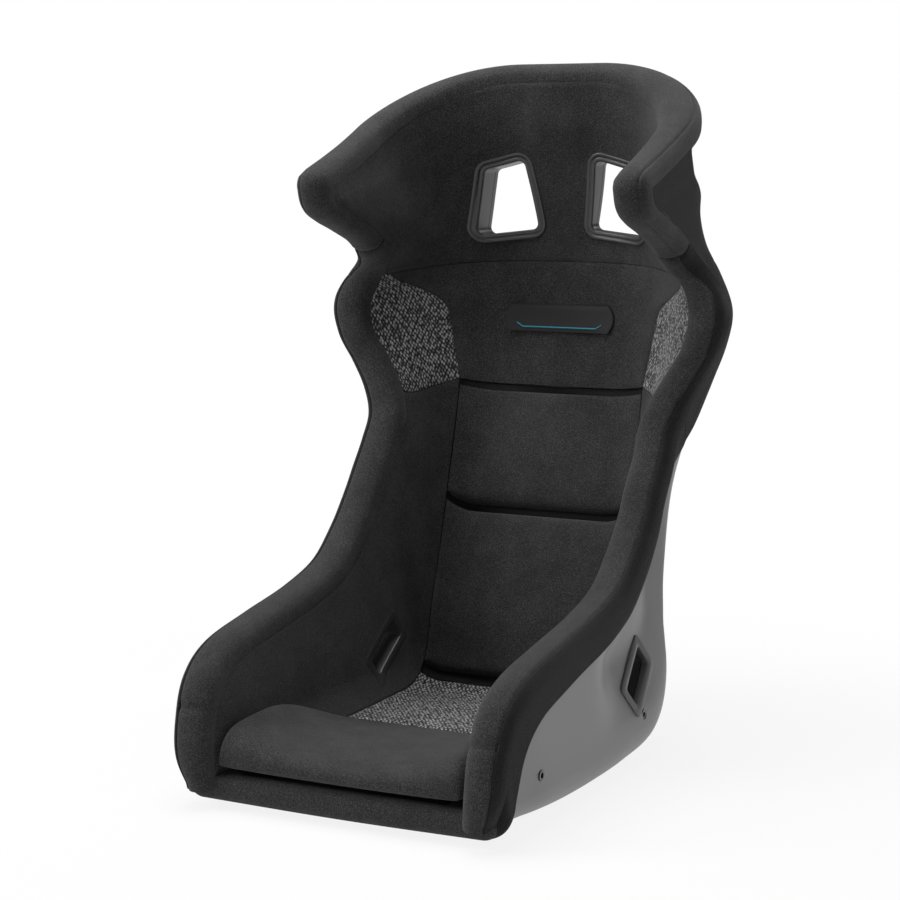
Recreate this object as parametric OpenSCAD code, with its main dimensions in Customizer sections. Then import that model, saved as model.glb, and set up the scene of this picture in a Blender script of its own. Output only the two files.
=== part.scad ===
// Fixed-back bucket seat with a head ring: a moulded shell lined with foam pads,
// rolled edges, lift-off cushions, harness slots with bezels and side mounts.
// The sitter faces -Y, +Z is up and the part stands on its flat underside.

/* [Overall] */
// Height over the head ring
seat_h = 835; // [810:1:870]
// Length of the base from the hip line to the front edge of the shell
base_l = 294; // [284:1:306]
// Depth from the hip line to the padded back at hip height
hip_depth = 166; // [160:1:176]
// How far the shoulders lean back behind the hips
back_lean = 127; // [115:1:138]
// Outside width of the shell across the side mounts
hip_w = 410; // [400:1:426]
// Outside width of the shell across the shoulders
shoulder_w = 516; // [500:1:536]
// Outside width of the shell across the head ring
head_w = 432; // [420:1:446]
// Height of the side rims beside the thighs
thigh_rim_h = 190; // [180:1:204]
// How far the tips of the head ring come forward from the hips
ring_reach = 150; // [135:1:165]
// How far the upper edge of the ring dips between the tips and the back
ring_sag = 11; // [4:1:16]

/* [Shell] */
// Wall of the shell
shell_t = 5; // [4:0.5:6]
// How deep the flanks are pinched in around the lap slots
flank_dent = 24; // [16:1:26]

/* [Padding] */
// Height of the padded base over the floor
base_pad_h = 49; // [45:1:54]
// Thickness from the padded back to the outside of the shell
back_pad_t = 20; // [19:1:26]
// Width of the rolled pads along the side rims
side_roll_w = 43; // [39:1:48]
// Width of the rolled pads around the head ring
ring_roll_w = 32; // [28:1:36]
// How far the rolled pads stand proud of the shell's edge
roll_h = 22; // [17:1:25]
// Thickness of the padded cover outside the head ring
cover_t = 12; // [8:1:14]
// Thickness of the padded cover outside the side rims
rim_cover_t = 6; // [4:1:8]
// Glue line between the padding and the shell
bond = 0.8; // [0.7:0.1:1]
// Clearance between neighbouring pieces
gap = 0.3; // [0.2:0.1:0.5]

/* [Cushions] */
// Width of the seat cushion and of the back cushions
cushion_w = 252; // [240:1:256]
// Thickness of a cushion at its edge
cushion_t = 14; // [11:1:16]
// How far the back cushions stand proud of the padding beside them
cushion_proud = 7; // [5:1:9]
// How far the middle of a cushion is crowned
cushion_crown = 4; // [2:1:6]
// Thickness of the hook-and-loop strips that hold the cushions
strip_t = 1.4; // [1:0.1:2]
// Height of the thigh cushion over the base padding
thigh_cushion_h = 27; // [22:1:32]
// Height of the thigh cushion's raised ends over the base padding
thigh_end_h = 56; // [44:1:60]
// Width of the thigh cushion at its bulge
thigh_cushion_w = 307; // [290:2:312]

/* [Harness slots] */
// Height of the middle of a shoulder slot as a share of the overall height
shoulder_slot_at = 0.7976; // [0.786:0.0004:0.8072]
// Distance of the middle of a shoulder slot from the centre line
shoulder_slot_x = 76; // [72:1:80]
// Clear height of a shoulder slot
shoulder_slot_h = 88; // [76:1:92]
// Clear width of a shoulder slot at its foot
shoulder_slot_w = 78; // [66:1:82]
// How far the middle of a lap slot lies behind the hip line
lap_slot_y = 76; // [72:1:82]
// Height of the middle of a lap slot over the floor
lap_slot_z = 108; // [104:1:113]
// Clear length of a lap slot along its slope
lap_slot_l = 70; // [60:1:76]
// Clear width of a lap slot
lap_slot_w = 27; // [22:1:30]
// Width of the rim that a bezel shows around its slot
bezel_w = 11; // [8:1:13]
// How far a bezel's rim stands proud
bezel_t = 3; // [2:0.5:4]
// Wall of the sleeve that lines a slot
sleeve_t = 2.2; // [1.6:0.2:3]

/* [Side mounts] */
// Distance between the front and the rear mount
mount_pitch = 290; // [270:1:300]
// Height of the side mounts over the floor
mount_z = 63; // [60:1:68]
// Diameter of the tapped hole for an M8 bolt
mount_d = 6.8; // [6:0.1:8.5]
// Length of the tapped hole
mount_l = 18; // [14:1:22]
// Diameter of the insert's barrel
insert_d = 12; // [11:0.5:16]
// Diameter of the insert's flange inside the shell
insert_flange_d = 26; // [20:1:28]
// Thickness of the insert's flange
insert_flange_t = 3; // [2:0.5:4]

/* [Hidden] */

// ---- the seat's form: stations from the front lip over the hips to the head ring ----
top_z = seat_h - roll_h - 1;       // top edge of the shell at the middle
hip_x = hip_w / 2;
shoulder_x = shoulder_w / 2;
head_x = head_w / 2;
lip_z = 14;                        // underside of the shell at the front lip
lip_pad_h = base_pad_h - 9;        // padded height at the front lip

// One station holds: the shell's middle (y, z), the shell's edge (y, z), the outside
// half width at the edge, the shell's corner radius and wall angle, the padded
// surface's middle (y, z), its corner radius and wall angle, the width of the rolled
// pad inside the edge and the cover's thickness outside it.
function base_row(ty, tz, ry, rz, x, rs, ps, sz, rp, pp, roll) =
    [-base_l * ty, tz, -base_l * ry, thigh_rim_h * rz, x, rs, ps,
     -base_l * ty, sz, rp, pp, roll, rim_cover_t];
function back_row(tz, extra, ry, rz, x, rs, ps, lean, sz, rp, pp, roll, cov) =
    [hip_depth + back_lean * lean + back_pad_t + extra, top_z * tz,
     hip_depth + ry, top_z * rz, x, rs, ps,
     hip_depth + back_lean * lean, top_z * sz, rp, pp, roll, cov];
STATIONS = [
    base_row(0.997, lip_z, 1.018, 0.158, hip_x - 22, 12, 88, lip_pad_h, 6, 80, side_roll_w - 14),
    base_row(0.972, lip_z, 1.031, 0.316, hip_x - 10, 24, 88, lip_pad_h + 1, 14, 80, side_roll_w - 5),
    base_row(0.901, lip_z, 1.014, 0.505, hip_x - 7, 34, 88, lip_pad_h + 2, 22, 82, side_roll_w - 3),
    base_row(0.794, lip_z, 0.952, 0.705, hip_x - 4, 34, 89, base_pad_h - 5, 30, 82, side_roll_w - 1),
    base_row(0.646, 10, 0.810, 0.832, hip_x - 1, 38, 90, base_pad_h - 3, 35, 83, side_roll_w),
    base_row(0.408, 2, 0.537, 0.916, hip_x, 46, 90, base_pad_h, 38, 84, side_roll_w),
    base_row(0.136, 0, 0.231, 1.000, hip_x, 46, 90, base_pad_h, 40, 84, side_roll_w),
    [hip_depth * 0.30, 0, 6, top_z * 0.262, hip_x, 50, 90,
     hip_depth * 0.27, base_pad_h - 1, 42, 84, side_roll_w, rim_cover_t],
    [hip_depth * 0.78, 11, 55, top_z * 0.308, hip_x, 50, 90,
     hip_depth * 0.72, base_pad_h, 46, 84, side_roll_w, rim_cover_t],
    [hip_depth * 1.15, 44, 90, top_z * 0.355, hip_x, 62, 87,
     hip_depth * 0.90, base_pad_h + 29, 50, 84, side_roll_w, rim_cover_t],
    back_row(0.128, 28, -52, 0.397, hip_x - 1, 80, 83, 0.000, 0.167, 50, 82, side_roll_w, rim_cover_t),
    back_row(0.223, 15, -27, 0.438, hip_x - 1, 94, 80, 0.189, 0.254, 50, 80, side_roll_w, rim_cover_t),
    back_row(0.328, 4, -9, 0.479, hip_x - 1, 106, 79, 0.402, 0.346, 55, 76, side_roll_w + 1, rim_cover_t),
    back_row(0.426, 0, 1, 0.522, shoulder_x - 43, 108, 80, 0.598, 0.438, 70, 66, side_roll_w + 1,
        rim_cover_t + 1),
    back_row(0.518, -2, 5, 0.568, shoulder_x - 24, 116, 81, 0.748, 0.522, 110, 56, side_roll_w,
        rim_cover_t + 2),
    back_row(0.599, -4, 2, 0.612, shoulder_x - 6, 128, 82, 0.866, 0.601, 160, 50, side_roll_w - 3,
        rim_cover_t + 2),
    back_row(0.666, -2, 4, 0.655, shoulder_x, 138, 82, 0.929, 0.663, 180, 50, side_roll_w - 3,
        rim_cover_t + 2),
    back_row(0.724, -2, 12, 0.700, shoulder_x - 17, 142, 82, 0.976, 0.719, 160, 56, side_roll_w - 6,
        cover_t - 3),
    back_row(0.773, -2, -1, 0.736, head_x + 4, 140, 84, 1.000, 0.768, 140, 66, ring_roll_w + 2,
        cover_t - 2),
    back_row(0.820, 4, 109 - ring_reach, 0.772, head_x - 3, 148, 86, 0.953, 0.817, 132, 76,
        ring_roll_w - 2, cover_t - 1),
    back_row(0.865, 9, 59 - ring_reach, 0.797, head_x - 2, 152, 88, 0.882, 0.861, 134, 84,
        ring_roll_w - 2, cover_t),
    back_row(0.909, 13, 22 - ring_reach, 0.812, head_x - 1, 154, 89, 0.803, 0.905, 136, 87,
        ring_roll_w - 1, cover_t),
    back_row(0.953, 16, 6 - ring_reach, 0.823, head_x, 156, 90, 0.724, 0.950, 138, 89,
        ring_roll_w, cover_t),
    back_row(1.000, 15, -ring_reach, 0.842, head_x, 156, 90, 0.677, 0.998, 140, 89,
        ring_roll_w, cover_t)];
last = len(STATIONS) - 1;
cushion_front = 5.6;               // station where the thigh cushion meets the seat cushion
cushion_rear = 8.4;                // station where the seat cushion ends
foam_split = 8.5;                  // station where the base foam meets the back foam
back_low = 8.8;                    // stations where the back cushions start, meet and end
back_mid = 11.86;
back_top = 13.9;
chest_low = 14.05;
neck = 17.02;                      // station where the head lining starts
roll_end = 18.6;                   // station where the side rolls run under the head ring
cover_split = 12.5;                // station where the rim covers meet the ring covers

facet = 1.9;                       // clearance of a rim over a curved surface

// The part is centred from front to back
ease = 0.75;                       // extra clearance between two curved pieces
front_y = -base_l * 1.031 - roll_h - gap - ease;
rear_y = hip_depth + back_lean + back_pad_t + bezel_t + facet - 1.7;
mid_y = (front_y + rear_y) / 2;

function blend(a, b, c, d, t) =
    0.5 * (2 * b + (c - a) * t + (2 * a - 5 * b + 4 * c - d) * t * t
    + (3 * b - a - 3 * c + d) * t * t * t);
function station(u) =
    let (i = max(0, min(floor(u), last - 1)), b = STATIONS[i], c = STATIONS[i + 1],
         a = i == 0 ? 2 * b - c : STATIONS[i - 1],
         d = i == last - 1 ? 2 * c - b : STATIONS[i + 2])
    blend(a, b, c, d, u - i);

// A half profile is a flat, an arc and a straight wall: v runs from 0 at the middle to
// 1 at the edge, and the flat and the arc end at v_flat and v_arc.
v_flat = 0.34;
v_arc = 0.72;
function wall_run(h, r, a) = (h - r * (1 - cos(a))) / sin(a);
function fit_r(h, r, a) = min(r, 0.98 * h / (1 - cos(a)));
function flat_w(x, h, r, a) = max(4, x - r * sin(a) - wall_run(h, r, a) * cos(a));
function profile(x, h, r, a, v) =
    let (f = flat_w(x, h, r, a))
    v <= v_flat ? [f * v / v_flat, 0] :
    v <= v_arc ? let (b = a * (v - v_flat) / (v_arc - v_flat)) [f + r * sin(b), r * (1 - cos(b))] :
    let (t = (v - v_arc) / (1 - v_arc), p = [f + r * sin(a), r * (1 - cos(a))])
    p + ([x, h] - p) * t;
function profile_v(x, h, r, a, at_x) =
    let (f = flat_w(x, h, r, a), p = f + r * sin(a))
    at_x <= f ? v_flat * at_x / f :
    at_x <= p ? v_flat + (v_arc - v_flat) * asin((at_x - f) / r) / a :
    min(1, v_arc + (1 - v_arc) * (at_x - p) / (x - p));
function profile_x(x, h, r, a, at_h) =
    let (f = flat_w(x, h, r, a), p = r * (1 - cos(a)))
    at_h <= 0 ? f :
    at_h <= p ? f + sqrt(max(0, r * r - (r - at_h) * (r - at_h))) :
    f + r * sin(a) + (x - f - r * sin(a)) * (at_h - p) / max(1, h - p);

function ramp(x, a, b) = let (t = max(0, min(1, (x - a) / (b - a)))) t * t * (3 - 2 * t);
function side(v) = v < 0 ? -1 : 1;

// The flanks are pinched in around the lap slots, above the flat mounting faces
function dent(w, h, full) =
    flank_dent * ramp(w[0], -60, 40) * (1 - ramp(w[1], 150, 290))
    * max(0, min(1, (h - mount_z + 2) / 80)) * (1 - ramp(h, full - 70, full - 8));

// The upper edge of the ring dips between its tips and the back
function sag(w, t) = ring_sag * ramp(w[1], top_z * 0.87, top_z) * sin(180 * min(1, t));

function shell_h(w) = norm([w[2] - w[0], w[3] - w[1]]);
function shell_dir(w) = [w[2] - w[0], w[3] - w[1]] / shell_h(w);
function shell_at(w, v) =
    let (full = shell_h(w), dir = shell_dir(w),
         p = profile(w[4], full, fit_r(full, w[5], w[6]), w[6], abs(v)))
    [side(v) * (p[0] - dent(w, p[1], full)), w[0] + dir[0] * p[1],
     max(0, w[1] + dir[1] * p[1]) - sag(w, p[1] / full)];
function pad_h(w) = norm([w[2] - w[7], w[3] - w[8]]);
function pad_dir(w) = [w[2] - w[7], w[3] - w[8]] / pad_h(w);
function pad_x(w) = w[4] - w[11];
function pad_at(w, v) =
    let (full = pad_h(w), dir = pad_dir(w),
         p = profile(pad_x(w), full, fit_r(full, w[9], w[10]), w[10], abs(v)))
    [side(v) * p[0], w[7] + dir[0] * p[1], w[8] + dir[1] * p[1] - sag(w, p[1] / full)];
function pad_v(w, x) =
    let (full = pad_h(w)) profile_v(pad_x(w), full, fit_r(full, w[9], w[10]), w[10], x);
function shell_v(w, x) =
    let (full = shell_h(w)) profile_v(w[4], full, fit_r(full, w[5], w[6]), w[6], x);

function unit(p) = p / norm(p);
function inward(w, v) = unit(pad_at(w, v) - shell_at(w, v));
// A point d inside the shell's outer face, or d behind the padded surface
function from_shell(w, v, d) = shell_at(w, v) + d * inward(w, v);
function from_pad(w, v, d) = pad_at(w, v) - d * inward(w, v);

// Places on the surfaces over a point given in front view or in side view
function seek(f, lo, hi, n) =
    let (mid = (lo + hi) / 2)
    n == 0 ? mid : f(mid) < 0 ? seek(f, mid, hi, n - 1) : seek(f, lo, mid, n - 1);
function turn(p, q) = p[0] * q[1] - p[1] * q[0];
function pad_y(x, z) =
    let (u = seek(function (s) let (w = station(s)) pad_at(w, pad_v(w, x))[2] - z, 13, last, 14),
         w = station(u)) pad_at(w, pad_v(w, x))[1];
function shell_y(x, z) =
    let (u = seek(function (s) let (w = station(s)) shell_at(w, shell_v(w, x))[2] - z, 13, last, 14),
         w = station(u)) shell_at(w, shell_v(w, x))[1];
function flank_pad_x(y, z) =
    let (u = seek(function (s) let (w = station(s)) turn(pad_dir(w), [y - w[7], z - w[8]]), 3, 12, 14),
         w = station(u), full = pad_h(w))
    profile_x(pad_x(w), full, fit_r(full, w[9], w[10]), w[10], [y - w[7], z - w[8]] * pad_dir(w));
function flank_shell_x(y, z) =
    let (u = seek(function (s) let (w = station(s)) turn(shell_dir(w), [y - w[0], z - w[1]]), 3, 12, 14),
         w = station(u), full = shell_h(w), h = [y - w[0], z - w[1]] * shell_dir(w))
    profile_x(w[4], full, fit_r(full, w[5], w[6]), w[6], h) - dent(w, h, full);

function lerp(a, b, t) = a + (b - a) * t;
function spread(a, b, n) = [for (i = [0:n]) lerp(a, b, i / n)];
function rows(a, b) = concat([a], [for (k = [ceil(2 * a + 0.2):floor(2 * b - 0.2)]) k / 2], [b]);
function flat_list(lists) = [for (l = lists) each l];
half_cols = concat(spread(0, v_flat, 2), [for (i = [1:10]) lerp(v_flat, v_arc, i / 10)],
    [0.765, 0.81, 0.855, 0.9, 0.95, 1]);
full_cols = concat([for (i = [len(half_cols) - 1:-1:1]) -half_cols[i]], half_cols);

// ---- solids ----
// A closed solid between two grids of points with the same rows and columns
module slab(outer, inner) {
    m = len(outer);
    n = len(outer[0]);
    q = m * n;
    c = floor(n / 2);
    across = cross(outer[1][c] - outer[0][c], outer[0][c - 1] - outer[0][c]);
    flip = across * (outer[0][c] - inner[0][c]) < 0;
    function quad(a, b, c, d) = flip ? [[a, b, c], [a, c, d]] : [[a, c, b], [a, d, c]];
    top = [for (i = [0:m - 2], j = [0:n - 2])
        each quad(i * n + j, i * n + j + 1, (i + 1) * n + j + 1, (i + 1) * n + j)];
    bottom = [for (f = top) [f[0] + q, f[2] + q, f[1] + q]];
    rim = concat([for (j = [0:n - 2]) j], [for (i = [0:m - 2]) i * n + n - 1],
        [for (j = [n - 1:-1:1]) (m - 1) * n + j], [for (i = [m - 1:-1:1]) i * n]);
    k = len(rim);
    edge = [for (i = [0:k - 1]) let (a = rim[i], b = rim[(i + 1) % k]) each quad(a, a + q, b + q, b)];
    polyhedron(concat(flat_list(outer), flat_list(inner)), concat(top, bottom, edge), convexity = 10);
}

// A closed skin through rings of points; an open run of rings is closed by end faces
module skin(rings, loop = false) {
    m = len(rings);
    n = len(rings[0]);
    walls = [for (i = [0:m - (loop ? 1 : 2)], j = [0:n - 1])
        let (a = i * n + j, b = i * n + (j + 1) % n, c = (i + 1) % m * n + (j + 1) % n,
             d = (i + 1) % m * n + j) each [[a, b, c], [a, c, d]]];
    ends = loop ? [] : [[for (j = [n - 1:-1:0]) j], [for (j = [0:n - 1]) (m - 1) * n + j]];
    points = flat_list(rings);
    volume = [for (f = walls) cross(points[f[0]], points[f[1]]) * points[f[2]]] * [for (f = walls) 1];
    faces = concat(walls, ends);
    polyhedron(points, volume > 0 ? [for (f = faces) [for (i = [len(f) - 1:-1:0]) f[i]]] : faces,
        convexity = 10);
}

module placed() translate([0, -mid_y, 0]) children();
module handed(s) mirror([s > 0 ? 0 : 1, 0, 0]) placed() children();

// A piece of padding over stations us, where lo and hi give v at each station
module lining(us, cols, lo, hi, outer, inner) {
    slab([for (u = us) let (w = station(u)) [for (v = spread(lo(u, w), hi(u, w), cols)) outer(u, w, v)]],
         [for (u = us) let (w = station(u)) [for (v = spread(lo(u, w), hi(u, w), cols)) inner(u, w, v)]]);
}
glued = function (u, w, v) from_shell(w, v, shell_t + bond);
surface = function (u, w, v) from_pad(w, v, 0);
to_edge = function (u, w) 1;

// ---- harness slots ----
corner_r = 8;
function corner_pair(q, i) =
    [unit(q[(i + len(q) - 1) % len(q)] - q[i]), unit(q[(i + 1) % len(q)] - q[i])];
function rounded(q, r, n) =
    [for (i = [0:len(q) - 1])
        let (ab = corner_pair(q, i), out = -unit(ab[0] + ab[1]), half = acos(ab[0] * ab[1]) / 2,
             c = q[i] - out * r / sin(half), s = turn(ab[0], ab[1]) > 0 ? -1 : 1)
        each [for (k = [-n:n]) let (g = s * (90 - half) * k / n)
            c + r * [out[0] * cos(g) - out[1] * sin(g), out[0] * sin(g) + out[1] * cos(g)]]];
function grown(q, d) =
    [for (i = [0:len(q) - 1])
        let (ab = corner_pair(q, i), half = acos(ab[0] * ab[1]) / 2)
        q[i] - unit(ab[0] + ab[1]) * d / sin(half)];
function outline(q, d) = rounded(grown(q, d), corner_r + d, 2);
// A shoulder slot's corners in front view and a lap slot's corners in side view
shoulder_corners =
    let (w = shoulder_slot_w / 2, h = shoulder_slot_h / 2, x = shoulder_slot_x,
         z = seat_h * shoulder_slot_at)
    [[x - w, z - h + 4], [x - w + 13, z + h + 4], [x + w * 0.62, z + h - 9], [x + w, z - h - 5]];
slot_slope = 35;
lap_corners =
    let (along = lap_slot_l / 2 * [cos(slot_slope), sin(slot_slope)],
         across = lap_slot_w / 2 * [sin(slot_slope), -cos(slot_slope)], c = [lap_slot_y, lap_slot_z])
    [c - along - across, c + along - across, c + along + across, c - along + across];

module shoulder_cut(d) for (s = [-1, 1])
    translate([0, rear_y + 40, 0]) rotate([90, 0, 0]) linear_extrude(300)
        polygon([for (p = outline(shoulder_corners, d)) [s * p[0], p[1]]]);
module lap_cut(d) for (s = [-1, 1])
    translate([s > 0 ? 100 : -100 - hip_x, 0, 0]) rotate([90, 0, 90]) linear_extrude(hip_x)
        polygon(outline(lap_corners, d));

// A bezel is a flat rim with a sleeve: at gives a point for a place p and a depth t
module bezel(q, face, sleeve_end, at) {
    d_list = [bezel_w, bezel_w, bezel_w - 1.5, 1, 0, 0, sleeve_t, sleeve_t];
    loops = [for (d = d_list) outline(q, d)];
    rings = [for (k = [0:len(loops[0]) - 1])
        let (e = sleeve_end(loops[6][k]))
        [at(loops[0][k], face(loops[0][k]), facet),
         at(loops[1][k], face(loops[1][k]), facet + bezel_t - 1),
         at(loops[2][k], face(loops[2][k]), facet + bezel_t),
         at(loops[3][k], face(loops[3][k]), facet + bezel_t),
         at(loops[4][k], face(loops[4][k]), facet + bezel_t - 1), at(loops[5][k], e, 0),
         at(loops[6][k], e, 0), at(loops[7][k], face(loops[7][k]), facet)]];
    skin(rings, loop = true);
}
module shoulder_front() bezel(shoulder_corners, function (p) pad_y(p[0], p[1]),
    function (p) shell_y(p[0], p[1]) - shell_t - 2, function (p, y, t) [p[0], y - t, p[1]]);
module shoulder_rear() bezel(shoulder_corners, function (p) shell_y(p[0], p[1]),
    function (p) shell_y(p[0], p[1]) - shell_t - 1, function (p, y, t) [p[0], y + t, p[1]]);
module lap_inner() bezel(lap_corners, function (p) flank_pad_x(p[0], p[1]),
    function (p) flank_shell_x(p[0], p[1]) - shell_t - 2, function (p, x, t) [x - t, p[0], p[1]]);
module lap_outer() bezel(lap_corners, function (p) flank_shell_x(p[0], p[1]),
    function (p) flank_shell_x(p[0], p[1]) - shell_t - 1, function (p, x, t) [x + t, p[0], p[1]]);

// ---- side mounts ----
mount_mid_y = hip_depth * 0.43 - 145;
mount_ys = [mount_mid_y - mount_pitch / 2, mount_mid_y + mount_pitch / 2];
module at_mounts() for (y = mount_ys) translate([hip_x, y, mount_z]) rotate([0, -90, 0]) children();
insert_seat = shell_t + 3.5;       // depth of the flange behind the curved wall
module insert_bore() at_mounts() translate([0, 0, -2])
    cylinder(d = (insert_d + 2 * gap) / cos(15), h = shell_t + 20, $fn = 12);
module insert_pocket() at_mounts()
    cylinder(d = (insert_flange_d + 2) / cos(15), h = shell_t + mount_l + 2, $fn = 12);
module inserts() at_mounts() difference() {
    union() {
        translate([0, 0, 0.5]) cylinder(d = insert_d, h = mount_l, $fn = 64);
        translate([0, 0, insert_seat]) cylinder(d = insert_flange_d, h = insert_flange_t, $fn = 64);
    }
    translate([0, 0, -1]) cylinder(d = mount_d, h = mount_l + 3, $fn = 48);
}

// ---- shell ----
module shell_body() {
    us = spread(0, last, last * 2);
    slab([for (u = us) let (w = station(u)) [for (v = full_cols) from_shell(w, v, 0)]],
         [for (u = us) let (w = station(u)) [for (v = full_cols) from_shell(w, v, shell_t)]]);
}
module shell() color("#6d6e70") placed() difference() {
    shell_body();
    shoulder_cut(sleeve_t + gap);
    lap_cut(sleeve_t + gap);
    insert_bore();
    mirror([1, 0, 0]) insert_bore();
}

// ---- foam and linings ----
recess = cushion_t - cushion_proud + strip_t + 3 * gap;
seat_recess = cushion_t + strip_t + 3 * gap;
mid_hi = function (u, w) pad_v(w, cushion_w / 2 - gap);
mid_lo = function (u, w) -mid_hi(u, w);
foam_hi = function (u, w) pad_v(w, cushion_w / 2 - 4 * ease);
foam_lo = function (u, w) -foam_hi(u, w);
module base_foam() color("#2b2b2d") placed()
    lining(concat(rows(0, cushion_front - 0.1), rows(cushion_front - 0.02, foam_split)), 10,
        foam_lo, foam_hi, function (u, w, v) from_pad(w, v, u < cushion_front - 0.05 ? 0 : seat_recess),
        glued);
module back_foam() color("#2b2b2d") placed()
    lining(rows(foam_split + 0.03, chest_low - 0.03), 12, foam_lo, foam_hi,
        function (u, w, v) from_pad(w, v, recess), glued);
// The seam over the side pads slopes down from the back cushions to the rim
seam_drop = 1.1;
function sloped(u, w, v) =
    station(u - seam_drop * ramp(u, 11.5, chest_low) * (1 - ramp(u, chest_low, 16.6))
    * max(0, v - pad_v(w, cushion_w / 2)) / (1 - pad_v(w, cushion_w / 2)));
sloped_surface = function (u, w, v) from_pad(sloped(u, w, v), v, 0);
sloped_glued = function (u, w, v) from_shell(sloped(u, w, v), v, shell_t + bond + gap + 4 * ease);
module side_pad() difference() {
    lining(rows(0.12, chest_low - 0.03), 12, function (u, w) pad_v(w, cushion_w / 2 + gap), to_edge,
        sloped_surface, sloped_glued);
    lap_cut(sleeve_t + gap);
    insert_pocket();
}
module side_pad_left() color("#1e1e20") handed(1) side_pad();
module side_pad_right() color("#1e1e20") handed(-1) side_pad();

// The textured shoulder panels widen towards the shoulders and narrow at both ends
panel_top = 17;
function panel_x(u) =
    let (w = station(u))
    lerp(cushion_w / 2 + 11 * (u - chest_low), pad_x(w) - 5, pow(ramp(u, 15.6, panel_top + 0.1), 1.4));
chest_us = spread(chest_low, panel_top, 14);
module chest_pad() color("#1e1e20") placed()
    lining(chest_us, 12, function (u, w) -pad_v(w, panel_x(u) - 5 * ease),
        function (u, w) pad_v(w, panel_x(u) - 5 * ease), surface,
        function (u, w, v) from_shell(w, v, shell_t + bond + gap));
module shoulder_panel() lining(chest_us, 5,
    function (u, w) pad_v(w, panel_x(u) + gap), to_edge, sloped_surface, sloped_glued);
module shoulder_panel_left() color("#3a3a3d") handed(1) shoulder_panel();
module shoulder_panel_right() color("#3a3a3d") handed(-1) shoulder_panel();
module head_lining() color("#1e1e20") placed() difference() {
    us = concat([neck], rows(17.5, last));
    slab([for (u = us) let (w = station(u)) [for (v = full_cols) from_pad(w, v, 0)]],
         [for (u = us) let (w = station(u)) [for (v = full_cols) from_shell(w, v, shell_t + bond)]]);
    shoulder_cut(sleeve_t + gap);
}

// ---- cushions ----
function pillow(t, s) = (1 - pow(abs(2 * t - 1), 6)) * (1 - pow(abs(s), 6));
function back_face(u0, u1) = function (u, w, v)
    let (s = v / mid_hi(u, w), t = (u - u0) / (u1 - u0))
    from_pad(w, v, -cushion_proud * lerp(0.45, 1, pillow(t, s))
        - cushion_crown * (1 - s * s) * sin(180 * t));
// The under side of a cushion is no wider than its face, so that it lifts out
function straight(w, v, d) =
    let (p = from_pad(w, v, d), e = cushion_w / 2 - gap)
    [max(-e, min(e, p[0])), p[1], p[2]];
module back_cushion(u0, u1) placed()
    lining(concat([u0, u0 + 0.08, u0 + 0.25],
        [for (u = rows(u0 + 0.3, u1 - 0.3)) if (u > u0 + 0.35 && u < u1 - 0.35) u],
        [u1 - 0.25, u1 - 0.08, u1]), 12, mid_lo, mid_hi, back_face(u0, u1),
        function (u, w, v) straight(w, v, cushion_t - cushion_proud));
module back_cushion_lower() color("#19191b") back_cushion(back_low, back_mid - cushion_groove);
module back_cushion_upper() color("#19191b") back_cushion(back_mid + cushion_groove, back_top);
cushion_groove = 0.07;             // half the groove between the back cushions, in stations
seat_rise = 6;
module seat_cushion() color("#3a3a3d") placed()
    lining(concat([cushion_front + 0.03], rows(cushion_front + 0.1, cushion_rear - 0.05), [cushion_rear]),
        10, mid_lo, mid_hi,
        function (u, w, v)
            let (s = v / mid_hi(u, w), t = (u - cushion_front) / (cushion_rear - cushion_front))
            from_pad(w, v, -seat_rise * (1 - t) * (1 - pow(abs(s), 6))
                - 0.6 * cushion_crown * (1 - s * s) * sin(180 * t)),
        function (u, w, v) straight(w, v, cushion_t));

// The thigh cushion is a bolster that overhangs the front lip and rises at its ends
thigh_y0 = -base_l * 1.044;
thigh_y1 = station(cushion_front)[7];
thigh_x = thigh_cushion_w / 2;
function pad_u(y) = seek(function (s) station(s)[7] - y, 1, 8, 14);
function thigh_ring(t) =
    let (y = lerp(thigh_y0, thigh_y1, t), w = station(pad_u(y)), full = pad_h(w),
         nose = sqrt(1 - pow(1 - min(1, t / 0.1), 2)), fall = pow(cos(90 * max(0, t - 0.3) / 0.7), 1.3),
         z = w[8] + strip_t + 0.7,
         mid_h = lerp(seat_rise - strip_t, thigh_cushion_h, fall * lerp(0.5, 1, nose)),
         end_h = lerp(seat_rise - strip_t, thigh_end_h, fall * lerp(0.62, 1, nose)), wide_h = end_h * 0.55,
         low = (1 - nose) * 9,
         reach = function (k) min(thigh_x - 7 * (1 - nose),
             profile_x(pad_x(w), full, fit_r(full, w[9], w[10]), w[10], k + strip_t) - 3.3),
         x = reach(wide_h),
         half = [[reach(0) * 0.97, low], [reach(wide_h * 0.3), wide_h * 0.3 + low * 0.5],
             [reach(wide_h * 0.62), wide_h * 0.62], [x, wide_h], [x - 2, lerp(wide_h, end_h, 0.45)],
             [x - 7, lerp(wide_h, end_h, 0.85)], [x - 14, end_h],
             [x * 0.8, lerp(mid_h, end_h, 0.72)],
             [x * 0.6, lerp(mid_h, end_h, 0.36)], [x * 0.38, lerp(mid_h, end_h, 0.1)]])
    [for (p = concat(half, [[0, mid_h]], [for (i = [len(half) - 1:-1:0]) [-half[i][0], half[i][1]]]))
        [p[0], y, z + p[1]]];
module thigh_cushion() color("#1b1b1d") placed()
    skin([for (t = [0, 0.01, 0.03, 0.06, 0.1, 0.17, 0.26, 0.38, 0.5, 0.62, 0.74, 0.86, 0.95, 0.995])
        thigh_ring(t)]);

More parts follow.
